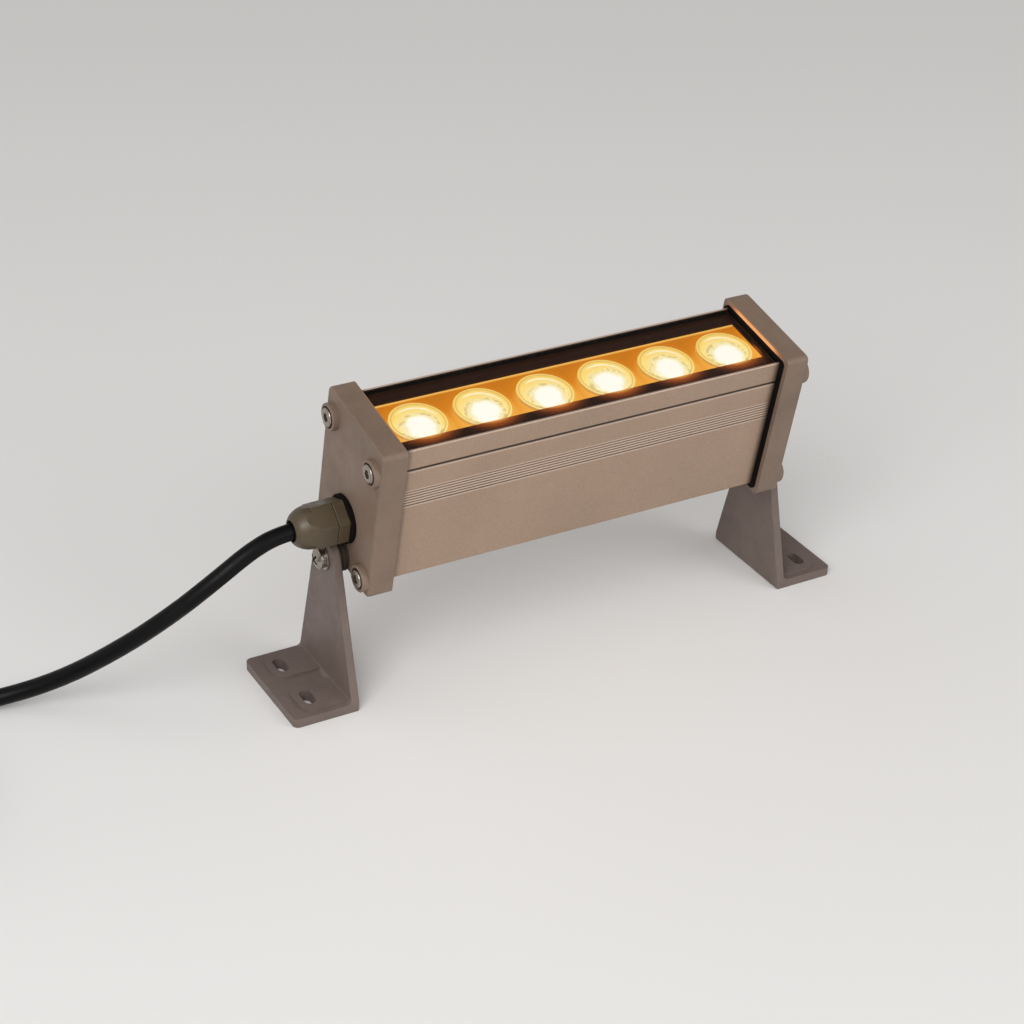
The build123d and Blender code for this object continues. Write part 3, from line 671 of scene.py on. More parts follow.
# ------------------------------------------------------------------ the finishes
def cast_paint(name="taupe_paint", cast=(1, 1, 1)):
    """Taupe powder paint on die-cast metal: orange peel, faint blotches, and the lenses' light on a cap."""
    # A cast below 1 paints shade into the colour, as on the feet.
    colour = tuple(part * share for part, share in zip(bpy.context.scene.washer_finish.paint, cast))
    finish, shader = new_material(name, colour, 0.5, Specular_IOR_Level=0.35)
    where = place(finish)
    tone = calc(finish, "MULTIPLY_ADD", noise(finish, where, 520, 3, 0.7), 0.45, noise(finish, where, 45, 4))
    tint(finish, shader, spread(finish, tone, 0.45, 1.0), colour, 0.84, 1.0, 1.14)
    sheen(finish, shader, noise(finish, where, 120, 2), 0.42, 0.6)
    coarse = bump(finish, noise(finish, where, 620, 2), shader, 0.04, 0.55)
    bump(finish, noise(finish, where, 2400, 2), shader, 0.014, 0.5, coarse)
    # The lenses light the strip of a cap's inner face that stands above the glass.
    x, u, v = node(finish, "SeparateXYZ", lamp_place(finish)).outputs
    inner = opposite(finish, spread(finish, size_of(finish, x), (CAP_IN + 0.05) * MM, (CAP_IN + 0.7) * MM))
    middle = opposite(finish, spread(finish, size_of(finish, u), 13 * MM, 23 * MM))
    lit = product(finish, inner, band(finish, v, GLASS_V + 0.4, CAP_TOP - 0.2, 0.5), middle)
    stops = [(0.0, (0, 0, 0)), (0.5, (0.20, 0.05, 0.006)), (1.0, (0.75, 0.30, 0.08))]
    shine(finish, shader, ramp(finish, lit, stops))
    return finish


def anodised():
    """Satin anodised aluminium: drawn lines, painted shade in the seam and at the ends, painted rib
    highlights.
    """
    colour = bpy.context.scene.washer_finish.anodised
    finish, shader = new_material("anodised", colour, 0.42, 0.5)
    lines = noise(finish, place(finish, (0.05, 1, 1)), 2600, 3, 0.7)
    grain = noise(finish, place(finish), 1300, 2, 0.8)
    tone = calc(finish, "MULTIPLY_ADD", grain, 1.2, product(finish, lines, 0.35))
    tone = calc(finish, "MULTIPLY_ADD", noise(finish, place(finish), 22, 3), 0.6, tone)
    skin = ramp(finish, spread(finish, tone, 0.75, 1.4), shades(colour, 0.84, 1.0, 1.14))
    x, u, v = node(finish, "SeparateXYZ", lamp_place(finish)).outputs

    # The flutes: painted highlights on the crests, painted shade in the grooves.
    from_first = calc(finish, "SUBTRACT", v, (FLUTE_MID + FLUTE_PITCH / 2) * MM)
    wave = calc(finish, "PINGPONG", from_first, FLUTE_PITCH / 2 * MM)
    fluted = band(finish, v, FLUTE_MID - FLUTED_HALF, FLUTE_MID + FLUTED_HALF, 0.1)
    crest_highlight = product(finish, spread(finish, wave, 0.34 * MM, 0.5 * MM), fluted, 0.5)
    groove = product(finish, opposite(finish, spread(finish, wave, 0.14 * MM, 0.32 * MM)), fluted, 0.5)

    # Painted highlights on the edges above the glass and below the seam; painted shade in the seam and at the
    # ends.
    below = opposite(finish, spread(finish, v, LIP_V * MM, (LIP_V + 0.15) * MM))
    under_seam = band(finish, v, SEAM_LOW - 0.7, SEAM_LOW - 0.1, 0.1)
    edge_highlight = product(finish, largest(finish, under_seam, opposite(finish, below)), 0.35)
    skin = blended(finish, largest(finish, crest_highlight, edge_highlight), skin, (0.80, 0.64, 0.54))
    # Painted shade in the seam groove.
    seam = band(finish, v, SEAM_LOW, SEAM_HIGH, 0.06)
    # Dark in the glass's channel.
    channel = opposite(finish, spread(finish, size_of(finish, u), CHANNEL_U * MM, (CHANNEL_U + 0.15) * MM))
    channel = product(finish, channel, spread(finish, v, CHANNEL_V * MM, (CHANNEL_V + 1) * MM), below)
    # Painted shade at both ends, beside the gaskets and caps.
    end = spread(finish, size_of(finish, x), (BODY_OUT - 3.4) * MM, BODY_OUT * MM)
    end = product(finish, calc(finish, "POWER", end, 1.4), 0.9)
    # The painted shade and the dark channel, mixed towards near black.
    dark = product(finish, largest(finish, groove, seam, channel, end), 0.95)
    join(finish, blended(finish, dark, skin, (0.014, 0.007, 0.004)), shader, "Base Color")
    sheen(finish, shader, lines, 0.36, 0.48)
    drawn = bump(finish, lines, shader, 0.01, 0.35)
    bump(finish, noise(finish, place(finish), 2600, 2), shader, 0.012, 0.4, drawn)
    return finish


def cover_glass():
    """Clear hardened glass, with the weak reflections of a coated one."""
    colour = (0.97, 0.985, 0.975)
    finish, shader = new_material("cover_glass", colour, 0.01, Transmission_Weight=1.0, IOR=1.33)
    smudge = spread(finish, noise(finish, place(finish), 60, 3), 0.45, 0.75, 0.004, 0.02)
    join(finish, smudge, shader, "Roughness")
    return finish


def black_rubber(name="dull_rubber", colour=(0.004, 0.003, 0.0025), roughness=0.7):
    """Dull black rubber."""
    finish, shader = new_material(name, colour, roughness, Specular_IOR_Level=0.08)
    where = place(finish)
    tint(finish, shader, noise(finish, where, 160, 3), colour, 0.7, 1.0, 1.6)
    bump(finish, noise(finish, where, 2200, 2), shader, 0.02, 0.5)
    return finish


def glass_border():
    """The black border under the glass, with the lenses' light painted on as a glow along its front half."""
    colour = (0.010, 0.004, 0.0025)
    finish, shader = new_material("seal_black", colour, 0.6, Specular_IOR_Level=0.1)
    where = lamp_place(finish)
    tint(finish, shader, noise(finish, where, 90, 3), colour, 0.7, 1.0, 1.5)
    # Painted light: the lenses' glow on the border, strongest near each lens and along the front.
    across = node(finish, "SeparateXYZ", where).outputs["Y"]
    front = opposite(finish, spread(finish, across, -6 * MM, 0.0))
    near = opposite(finish, spread(finish, lens_distance(finish, where), 11.7 * MM, 19.0 * MM))
    painted_lens_glow = calc(finish, "MULTIPLY_ADD", product(finish, near, 0.85), front, 0.12)
    stops = [
        (0.0, (0.006, 0.0015, 0.0)),
        (0.15, (0.016, 0.004, 0.001)),
        (0.45, (0.09, 0.020, 0.004)),
        (0.75, (0.34, 0.075, 0.010)),
        (0.97, (0.90, 0.38, 0.08)),
    ]
    shine(finish, shader, ramp(finish, painted_lens_glow, stops))
    return finish


def gland_nylon():
    """Olive-grey moulded nylon with fine drawn marks."""
    colour = bpy.context.scene.washer_finish.nylon
    finish, shader = new_material("gland_nylon", colour, 0.42, Specular_IOR_Level=0.5)
    where = place(finish)
    streaks = noise(finish, place(finish, (0.12, 1, 1)), 900, 2)
    tone = calc(finish, "MULTIPLY_ADD", streaks, 0.5, noise(finish, where, 90, 3))
    tint(finish, shader, spread(finish, tone, 0.5, 1.0), colour, 0.84, 1.0, 1.18)
    sheen(finish, shader, noise(finish, where, 300, 2), 0.32, 0.48)
    bump(finish, noise(finish, where, 1500, 2), shader, 0.015, 0.4)
    return finish


def cable_jacket():
    """Semi-gloss black cable jacket."""
    colour = (0.002, 0.0017, 0.0018)
    finish, shader = new_material("cable_black", colour, 0.36, Specular_IOR_Level=0.14)
    where = place(finish)
    tint(finish, shader, noise(finish, where, 70, 3), colour, 0.8, 1.0, 1.6)
    sheen(finish, shader, noise(finish, where, 260, 3), 0.3, 0.48)
    bump(finish, noise(finish, where, 900, 2), shader, 0.03, 0.35)
    return finish


def steel():
    """Stainless steel with fine turned marks."""
    colour = (0.36, 0.32, 0.275)
    finish, shader = new_material("bright_steel", colour, 0.25, 1.0)
    where = place(finish)
    tint(finish, shader, noise(finish, where, 420, 3), colour, 0.7, 1.0, 1.1)
    sheen(finish, shader, noise(finish, where, 900, 3), 0.18, 0.36)
    bump(finish, noise(finish, where, 2400, 2), shader, 0.01, 0.4)
    return finish


def moulded(name, colour, roughness, metallic=0.0):
    """A plain moulded or plated finish with a faint mottle, for the inner pieces."""
    finish, shader = new_material(name, colour, roughness, metallic)
    where = place(finish)
    tint(finish, shader, noise(finish, where, 140, 3), colour, 0.85, 1.0, 1.12)
    bump(finish, noise(finish, where, 1500, 2), shader, 0.015, 0.4)
    return finish


# ------------------------------------------------------------------ the lit finishes
def lens_offsets(finish, where):
    """The place along and across the lamp from the axis of the nearest lens, in metres."""
    x, u, _ = node(finish, "SeparateXYZ", where).outputs
    half = LED_PITCH / 2
    from_edge = calc(finish, "SUBTRACT", x, (LED_MID - half * LED_COUNT + half) * MM)
    return calc(finish, "WRAP", from_edge, half * MM, -half * MM), u


def length_of(finish, x, u, middle=(0, 0)):
    """The distance of (x, u) from a middle, in metres."""
    x = calc(finish, "SUBTRACT", x, middle[0] * MM)
    u = calc(finish, "SUBTRACT", u, middle[1] * MM)
    flat = node(finish, "CombineXYZ", x, u)
    return node(finish, "VectorMath", flat.outputs["Vector"], operation="LENGTH").outputs["Value"]


def lens_distance(finish, where):
    """The distance from the axis of the nearest lens, in metres."""
    return length_of(finish, *lens_offsets(finish, where))


def lit_lens():
    """A lit lens: white towards the front, pale yellow round it, with a bright arch and darker marks."""
    pale = tuple(bpy.context.scene.washer_finish.lens_glow)
    finish, shader = new_material("lens_clear", (0.10, 0.07, 0.03), 0.12)
    where = lamp_place(finish)
    x, u = lens_offsets(finish, where)
    wobble = noise(finish, where, 230, 3, 0.6)
    core = calc(finish, "MULTIPLY_ADD", wobble, 4.2 * MM, length_of(finish, x, u, (-0.6, -3.9)))
    stops = [
        (0.0, (1.06, 1.02, 0.93)),
        (0.14, (1.04, 0.99, 0.84)),
        (0.23, (0.97, 0.84, 0.50)),
        (0.42, (0.98, 0.78, 0.32)),
        (0.75, pale),
        (1.0, tuple(0.92 * part for part in pale)),
    ]
    glow = ramp(finish, spread(finish, core, 6.4 * MM, 16.5 * MM), stops)
    broken = spread(finish, noise(finish, where, 420, 2), 0.46, 0.56)
    trace = product(finish, band(finish, core, 9.6, 10.8, 0.35), broken, 0.5)
    glow = blended(finish, trace, glow, (0.46, 0.28, 0.06))
    arch = band(finish, length_of(finish, x, u, (-0.5, -1.2)), 9.0, 10.4, 0.4)
    corner = spread(finish, calc(finish, "MULTIPLY_ADD", x, 0.45, u), 4.6 * MM, 8.0 * MM)
    glow = blended(finish, product(finish, arch, corner), glow, (1.0, 0.95, 0.74))
    rim = length_of(finish, x, u)
    groove = product(finish, band(finish, rim, 10.7, 11.2, 0.15), 0.6)
    glow = blended(finish, groove, glow, (0.58, 0.36, 0.07))
    edge = spread(finish, rim, (LENS_FLANGE_R - 0.25) * MM, (LENS_FLANGE_R + 0.05) * MM)
    shine(finish, shader, blended(finish, edge, glow, (0.52, 0.19, 0.018)))
    return finish


def lit_tray():
    """The pale tray, lit orange by the lenses, yellower to the front and bright along its rim."""
    deep = tuple(bpy.context.scene.washer_finish.tray_glow)
    finish, shader = new_material("tray_lit", (0.05, 0.02, 0.003), 0.6, Specular_IOR_Level=0.1)
    where = lamp_place(finish)
    x, u = lens_offsets(finish, where)
    near = calc(finish, "MULTIPLY_ADD", u, 0.55, length_of(finish, x, u))
    stops = [
        (0.0, (1.0, 0.50, 0.08)),
        (0.35, (0.90, 0.38, 0.045)),
        (0.62, deep),
        (1.0, tuple(0.84 * part for part in deep)),
    ]
    glow = ramp(finish, spread(finish, near, 5 * MM, 24 * MM), stops)
    v = node(finish, "SeparateXYZ", where).outputs["Z"]
    outer = spread(finish, size_of(finish, u), (TRAY_RIM_U - 0.2) * MM, TRAY_RIM_U * MM)
    rim = product(finish, outer, spread(finish, v, (TRAY_TOP - 0.7) * MM, TRAY_TOP * MM), 0.8)
    shine(finish, shader, blended(finish, rim, glow, (1.0, 0.55, 0.12)))
    return finish


# ------------------------------------------------------------------ the cable
def lead_route():
    """The control points from the gland's seal to the coil."""
    start = LAMP @ (Vector((-CABLE_EXIT_OUT, 0, GLAND_V)) * MM)
    turns = [FEET @ (Vector(turn) * MM) for turn in LEAD_TURNS]
    return [start, start - Vector((EXIT_RUN * MM, 0, 0)), *turns]


def coil_route():
    """The coil's control points: half turns inwards, a climb at the inside, half turns out to the tail."""
    inwards = [COIL_R - COIL_STEP / 2 * i for i in range(COIL_HALVES)]
    climb_r = COIL_R - COIL_STEP / 2 * COIL_HALVES
    y = COIL_Y + COIL_R
    z = CABLE_Z
    side = -1  # the first half turn goes round the side of -X
    points = [(COIL_X + TAIL, y, z)]
    for radius in [*inwards, climb_r, *inwards[:0:-1]]:
        middle_y = y + side * radius
        rise = COIL_STEP if radius == climb_r else 0.0
        for i in range(HALF_TURN_POINTS):
            share = (i + 0.5) / HALF_TURN_POINTS
            across = side * radius * sin(pi * share)
            points.append((COIL_X + across, middle_y - side * radius * cos(pi * share), z + rise * share))
        z += rise
        y = middle_y + side * radius
        side = -side
    for i in range(HALF_TURN_POINTS // 2):
        angle = pi * (i + 0.5) / HALF_TURN_POINTS
        points.append((COIL_X - COIL_R * sin(angle), y - COIL_R * (1 - cos(angle)), z))
    points.append((COIL_X - COIL_R, y - COIL_R - TAIL, z))
    return [FEET @ (Vector(point) * MM) for point in points]


def nurbs_line(name, points):
    """A smooth curve with those control points, and no thickness yet."""
    curve = bpy.data.curves.new(name, "CURVE")
    curve.dimensions = "3D"
    curve.resolution_u = 6
    curve.bevel_resolution = 6
    curve.use_fill_caps = True
    spline = curve.splines.new("NURBS")
    spline.points.add(len(points) - 1)
    for point, place_of in zip(spline.points, points):
        point.co = (*place_of, 1.0)
    spline.order_u = 3
    spline.use_endpoint_u = True
    piece = bpy.data.objects.new(name, curve)
    bpy.context.scene.collection.objects.link(piece)
    return piece


def line_points(line):
    """The points of a curve that has no thickness yet."""
    mesh = bpy.data.meshes.new_from_object(line)
    points = [vertex.co.copy() for vertex in mesh.vertices]
    bpy.data.meshes.remove(mesh)
    return points


def tube(line, radius):
    """Turns the curve into a closed round tube."""
    line.data.bevel_depth = radius
    pick(line)
    bpy.ops.object.convert(target="MESH")
    piece = bpy.context.active_object
    with editing(piece):
        bpy.ops.mesh.select_all(action="SELECT")
        bpy.ops.mesh.remove_doubles(threshold=0.001 * MM)
        bpy.ops.mesh.normals_make_consistent(inside=False)
    smooth(piece, 50)
    return piece


# ------------------------------------------------------------------ the pieces, each for the right end
def round_edges(piece, axis, width, segments):
    """Rounds all the piece's edges that run along the axis."""
    with editing(piece, "EDGE"):
        select_edges(piece, along(axis))
        bevel(width, segments)


def round_face(piece, wanted, width, segments):
    """Rounds the edge round the faces whose middle and normal pass the test."""
    with editing(piece, "FACE"):
        select_faces(piece, wanted)
        bpy.ops.mesh.region_to_loop()
        bevel(width, segments)


def faces_out(middle, normal):
    """A test for faces that look away from the lamp's middle."""
    return normal.x > 0.9


def faces_in(middle, normal):
    """A test for faces that look to the lamp's middle."""
    return normal.x < -0.9


def cap_casting():
    """An end cap: a rounded block, hollow behind, with four bosses round sunk screw seats."""
    cap = block("cast_cap", (CAP_IN, -CAP_WIDTH / 2, CAP_LOW), (CAP_OUT, CAP_WIDTH / 2, CAP_TOP))
    round_edges(cap, 0, CAP_CORNER, 5)
    round_face(cap, faces_out, CAP_EDGE, 4)
    low = (CAP_IN - 1, -HOLLOW_WIDTH / 2, HOLLOW_LOW)
    hollow = block("hollow", low, (CAP_OUT - CAP_WALL, HOLLOW_WIDTH / 2, HOLLOW_HIGH))
    round_edges(hollow, 0, HOLLOW_CORNER, 3)
    boolean(cap, hollow)
    for u, v in SCREW_POINTS:
        boss = rod("boss", 48, BOSS_R, CAP_OUT - CAP_EDGE, BOSS_OUT, u, v)
        round_face(boss, faces_out, BOSS_EDGE, 3)
        boolean(cap, boss, "UNION")
        boolean(cap, rod("bore", 48, BORE_R, SCREW_SEAT, BOSS_OUT + 1, u, v))
        boolean(cap, rod("hole", 24, SCREW_HOLE_R, CAP_IN - 1, SCREW_SEAT + 0.5, u, v))
    return boolean(cap, rod("pivot_hole", 32, PIVOT_R, CAP_OUT - PIVOT_DEEP, CAP_OUT + 1))


def socket_screws():
    """The four socket-head screws of a cap, each with a drill tip at the bottom of its socket."""
    length, shank_r, head_r, head_edge = 25.0, 1.6, 4.0, 0.6
    top = SCREW_SEAT + 2.3
    tip = SCREW_SEAT - length
    outline = [(tip, 0), (tip, shank_r), (SCREW_SEAT, shank_r), (SCREW_SEAT, head_r)]
    outline += arc((top - head_edge, head_r - head_edge), head_edge, 90, 0, 4)
    screw = turned("socket_screw", [*outline, (top, 2.6), (top - 0.1, 0)], 48)
    boolean(screw, rod("socket", 6, hex_radius(3.5), top - 1.5, top + 1))
    boolean(screw, turned("drill_tip", [(top - 2.0, 0), (top - 1.45, 1.6), (top, 1.6), (top, 0)], 24))
    moves = [Matrix.Translation(Vector((0, u, v)) * MM) for u, v in SCREW_POINTS]
    copies = [put(copy_of(screw, "screw"), move) for move in moves]
    remove(screw)
    return joined("socket_screws", *copies)


def foot_casting():
    """A foot: a tapered arm with the pivot's eye, a plate with rounded corners, two pads and two slots."""
    pivot_v = PIVOT.z / MM
    eye = rod("eye", 48, EYE_R, ARM_IN, ARM_OUT, 0, pivot_v)
    sole = block("sole", (ARM_IN, -FOOT_HALF, 0), (ARM_OUT, FOOT_HALF, FOOT_THICK))
    arm = joined("arm", sole, eye)
    with editing(arm):
        bpy.ops.mesh.select_all(action="SELECT")
        bpy.ops.mesh.convex_hull()
        bpy.ops.mesh.select_all(action="SELECT")
        bpy.ops.mesh.dissolve_limited(angle_limit=radians(1))
    plate = block("plate", (ARM_IN, -FOOT_HALF, 0), (FOOT_OUT, FOOT_HALF, FOOT_THICK))
    with editing(plate, "EDGE"):
        select_edges(plate, lambda a, b: along(2)(a, b) and a.x > ARM_OUT)
        bevel(FOOT_CORNER, 4)
    foot = boolean(arm, plate, "UNION")
    round_face(foot, faces_in, ARM_EDGE, 3)

    def inner_corner(a, b):
        """A test for the edge where the arm meets the plate."""
        return along(1)(a, b) and abs(a.x - ARM_OUT) < 0.1 and abs(a.z - FOOT_THICK) < 0.1

    with editing(foot, "EDGE"):
        select_edges(foot, inner_corner)
        bevel(ARM_FILLET, 4)
    for y in (-SLOT_Y, SLOT_Y):
        pad = block("pad", (ARM_OUT, y - PAD_WIDE / 2, 1), (PAD_OUT, y + PAD_WIDE / 2, FOOT_THICK + PAD_HIGH))
        with editing(pad, "EDGE"):
            select_edges(pad, lambda a, b: along(2)(a, b) and a.x > ARM_OUT + 1)
            bevel(PAD_CORNER, 6)
        boolean(foot, pad, "UNION")
        low = (SLOT_OUT - SLOT_HALF_WIDE, y - SLOT_HALF_LONG, -1)
        slot = block("slot", low, (SLOT_OUT + SLOT_HALF_WIDE, y + SLOT_HALF_LONG, 8))
        round_edges(slot, 2, SLOT_HALF_WIDE - 0.02, 7)
        boolean(foot, slot)
    boolean(foot, rod("pivot_hole", 48, PIVOT_R + 0.05, ARM_IN - 1, ARM_OUT + 1, 0, pivot_v))
    foot.name = "foot"
    return soften(foot, 0.22, 2, 50)


def turning_screw():
    """The pan-head screw that the lamp turns on, with a cross recess."""
    tip, head_in = 92.5, SPRING_WASHER[1]
    side, high, radius = 1.1, 2.8, 4.6
    rise = high - side
    ball = (radius**2 + rise**2) / (2 * rise)
    steps = 8
    dome = []
    for i in range(steps + 1):
        r = radius * (1 - i / steps)
        dome.append((head_in + side + sqrt(ball**2 - r**2) - (ball - rise), r))
    shank = [(tip, 0), (tip, PIVOT_R), (head_in, PIVOT_R)]
    screw = turned("turning_screw", [*shank, (head_in, radius - 0.2), (head_in + 0.2, radius), *dome])
    top = head_in + high
    for turn in (25, 115):
        slot = block("slot", (top - 1.9, -2.5, -0.55), (top + 1, 2.5, 0.55))
        boolean(screw, put(slot, Matrix.Rotation(radians(turn), 4, "X")))
    return screw


def ring(name, start, end, inner, outer, edge):
    """A flat ring with eased outer corners."""
    low = outer - edge
    outer_side = [(start, low), (start + edge, outer), (end - edge, outer), (end, low)]
    return turned(name, [(start, inner), *outer_side, (end, inner)], ring=True)


def spring_washer():
    """A split spring washer."""
    start, end = SPRING_WASHER
    washer = ring("turning_lock_washer", start, end, WASHER_R, 4.3, 0.15)
    slit = block("slit", (start - 1, 2.0, -0.3), (end + 1, 6.0, 0.3))
    return boolean(washer, put(slit, Matrix.Rotation(radians(70), 4, "X")))


def turning_spacer():
    """The rubber spacer between a cap and its foot, with two grooves round it."""
    radius, groove_r = 7.5, 7.0
    end = ARM_IN - 0.02
    outline = [(CAP_OUT, WASHER_R), (CAP_OUT, radius - 0.3), (CAP_OUT + 0.3, radius)]
    for middle in (CAP_OUT + 1.4, CAP_OUT + 2.9):
        outline += [(middle - 0.35, radius), (middle - 0.2, groove_r)]
        outline += [(middle + 0.2, groove_r), (middle + 0.35, radius)]
    outline += [(end - 0.3, radius), (end, radius - 0.3), (end, WASHER_R)]
    return turned("turning_spacer", outline, ring=True)


def nylon_body():
    """The gland's body: a hexagon flange with a thread on both sides of it, bored through."""
    thread_in, bore_r, seat_in, seat_r = 91.5, 3.9, 112.0, SEAL_R + 0.1
    body = rod("nylon_body", 6, hex_radius(17.6), FLANGE_OUT, FLANGE_OUT + 5)
    round_edges(body, 0, 0.9, 4)
    soften(body, 0.35, 3, 50)
    stub = [(thread_in, 0), (thread_in, GLAND_THREAD_R - 0.3), (thread_in + 0.4, GLAND_THREAD_R)]
    stub += [(FLANGE_OUT + 0.5, GLAND_THREAD_R), (FLANGE_OUT + 1, GLAND_STUB_R)]
    stub += [(STUB_OUT - 0.4, GLAND_STUB_R), (STUB_OUT, GLAND_STUB_R - 0.4), (STUB_OUT, 0)]
    boolean(body, turned("stub", stub), "UNION")
    before, past = thread_in - 1.5, STUB_OUT + 2
    bore = [(before, 0), (before, bore_r), (seat_in, bore_r), (seat_in, seat_r), (past, seat_r), (past, 0)]
    return boolean(body, turned("bore", bore))


def nylon_nut():
    """The gland's nut: a hexagon cut by a dome, with the cable's mouth."""
    nut = rod("nylon_nut", 6, hex_radius(17.5), NUT_OUT, GLAND_MOUTH_OUT)
    round_edges(nut, 0, 0.6, 3)
    with editing(nut, "FACE"):
        select_faces(nut, faces_out)
        bpy.ops.transform.resize(value=(1, 0.965, 0.965), center_override=(0, 0, 0))
    dome = [(NUT_OUT, 0), (NUT_OUT, 9.7), (NUT_OUT + 0.4, 10.1), (115.4, 10.1), (116.0, 9.2), (117.4, 9.0)]
    dome += [(119.0, 8.65), (120.6, 8.05), (122.0, 7.2), (123.0, 6.35), (123.7, 5.5)]
    dome += [(GLAND_MOUTH_OUT, 4.95), (GLAND_MOUTH_OUT, 0)]
    boolean(nut, turned("dome", dome), "INTERSECT")
    thread_r, seat_r, mouth_r = 7.1, SEAL_R, 4.6
    past = GLAND_MOUTH_OUT + 1
    bore = [(NUT_OUT - 1, 0), (NUT_OUT - 1, thread_r), (118.2, thread_r), (119.2, seat_r)]
    bore += [(123.0, mouth_r), (past, mouth_r), (past, 0)]
    boolean(nut, turned("bore", bore))
    return soften(nut, 0.12, 2, 18)


def glass_plate():
    """The hardened glass, its upper edges eased."""
    low = (-GLASS_OUT, -GLASS_U, GLASS_V - GLASS_THICK)
    glass = block("glass_plate", low, (GLASS_OUT, GLASS_U, GLASS_V))
    round_face(glass, lambda middle, normal: normal.z > 0.9, 0.3, 1)
    return glass


def collimator():
    """A lens that stands on X: hollow foot, flaring side, flange and a low stepped dome."""
    board_top, flange_low, flange_high, top = 48.2, 57.7, 58.9, 59.7
    hollow_top, hollow_r, dome_r, steps = 51.5, 2.7, 9.0, 7
    hollow = [(hollow_top, 0), (hollow_top, hollow_r), (board_top, hollow_r)]
    flare = [(board_top, 4.3), (49.3, 5.5), (51.2, 7.1), (53.6, 8.6), (55.7, 9.9), (flange_low, 11.2)]
    flange = [(flange_low, LENS_FLANGE_R), (flange_high - 0.15, LENS_FLANGE_R)]
    flange += [(flange_high, LENS_FLANGE_R - 0.15)]
    step = [(flange_high, 9.9), (flange_high - 0.25, 9.6), (flange_high - 0.2, 9.2)]
    angles = [pi / 2 * i / steps for i in range(steps + 1)]
    dome = [(flange_high + (top - flange_high) * sin(angle), dome_r * cos(angle)) for angle in angles]
    return turned("collimator", [*hollow, *flare, *flange, *step, *dome])


# ------------------------------------------------------------------ operators
class WASHER_OT_stage(Operator):
    """Make the camera, the floor, the pale surroundings and the two soft lamps"""

    bl_idname = "washer.stage"
    bl_label = "Stage"

    def execute(self, context):
        studio = context.scene.washer_studio
        clear_selection()
        viewpoint = (-0.46226, PIVOT.y - 0.75583, 0.56910)
        heading, down, roll = radians(30.32), radians(30.19), radians(1.95)
        bpy.ops.object.camera_add(location=viewpoint)
        camera = context.active_object
        look = Matrix.Rotation(-heading, 4, "Z") @ Matrix.Rotation(pi / 2 - down, 4, "X")
        camera.rotation_euler = (look @ Matrix.Rotation(roll, 4, "Z")).to_euler()
        camera.data.sensor_width = 36.0
        camera.data.lens = studio.lens
        context.scene.camera = camera

        floor_size = 12.0
        bpy.ops.mesh.primitive_plane_add(size=floor_size, location=(0, 0, -0.1 * MM))
        floor = named("studio_floor")
        finish, shader = new_material("studio_floor", studio.floor, 0.8)
        tone = noise(finish, place(finish), 3.0, 2)
        join(finish, ramp(finish, tone, shades(studio.floor, 0.985, 1.0, 1.01)), shader, "Base Color")
        floor.data.materials.append(finish)

        aim = PIVOT + Vector((0, 0, 30 * MM))
        self.lamp("key_lamp", (-1.05, -0.95, 1.15), 1.1, studio.key_power, aim)
        self.lamp("fill_lamp", (0.9, -1.3, 0.75), 1.0, studio.fill_power, aim)

        world = bpy.data.worlds.new("pale_surroundings")
        context.scene.world = world
        world.use_nodes = True
        sky = world.node_tree.nodes["Background"]
        sky.inputs["Color"].default_value = (1.0, 0.985, 0.97, 1.0)
        # The surroundings are dark above and behind the glass, where it would mirror them.
        direction = node(world, "TexCoord").outputs["Generated"]
        dark_way = (0.45, 0.50, 0.74)
        toward = node(world, "VectorMath", direction, dark_way, operation="DOT_PRODUCT").outputs["Value"]
        level = spread(world, toward, 0.78, 0.93, studio.sky_level, 0.12 * studio.sky_level)
        world.node_tree.links.new(level, sky.inputs["Strength"])
        context.scene.view_settings.view_transform = "Standard"
        return {"FINISHED"}

    def lamp(self, name, location, size, power, aim):
        """A large square lamp, turned to face a point."""
        bpy.ops.object.light_add(type="AREA", location=location)
        lamp = bpy.context.active_object
        lamp.name = name
        lamp.data.size = size
        lamp.data.energy = power
        lamp.rotation_euler = (Vector(location) - aim).to_track_quat("Z", "Y").to_euler()


class WASHER_OT_cable(Operator):
    """Lay the cable from the gland down to its coil, with the three cores at its bare end"""

    bl_idname = "washer.cable"
    bl_label = "Cable"

    def execute(self, context):
        radius = context.scene.washer_sizes.cable_diameter / 2
        route = lead_route() + coil_route()
        line = nurbs_line("cable", route)
        path = line_points(line)
        cable = tube(line, radius)
        dressed(cable, None, cable_jacket(), "cable_black", "cable_lead", "cable_coil")
        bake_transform(cable)
        cores = self.cores(route[-1])
        paint_nodes(moulded("ferrule_tin", (0.60, 0.60, 0.58), 0.3, 1.0), "cable_ferrules")
        return {"FINISHED"}

    def cores(self, end):
        """The brown, blue and yellow-green cores that fan out on the floor."""
        floor_z = (FERRULE_R + 0.05) * MM
        colours = {
            "core_brown": (-1, (0.115, 0.040, 0.016)),
            "core_earth": (0, (0.33, 0.42, 0.03)),
            "core_blue": (1, (0.02, 0.10, 0.36)),
        }
        made = []
        for name, (fan, colour) in colours.items():
            start = end + Vector((1.5 * fan, 0, CORE_R if fan == 0 else -CORE_R)) * MM
            points = [
                start + Vector((0, 1 * MM, 0)),
                start - Vector((0, 9 * MM, 0)),
                Vector((end.x + 3.2 * fan * MM, end.y - 24 * MM, end.z / 2)),
                Vector((end.x + 4.4 * fan * MM, end.y - 38 * MM, floor_z)),
                Vector((end.x + 5.0 * fan * MM, end.y - 52 * MM, floor_z)),
            ]
            core = tube(nurbs_line(name, points), CORE_R * MM)
            dressed(core, "left_bracket", moulded(name, colour, 0.4), "core_insulation", "cable_cores")
            made.append(core)
        return made


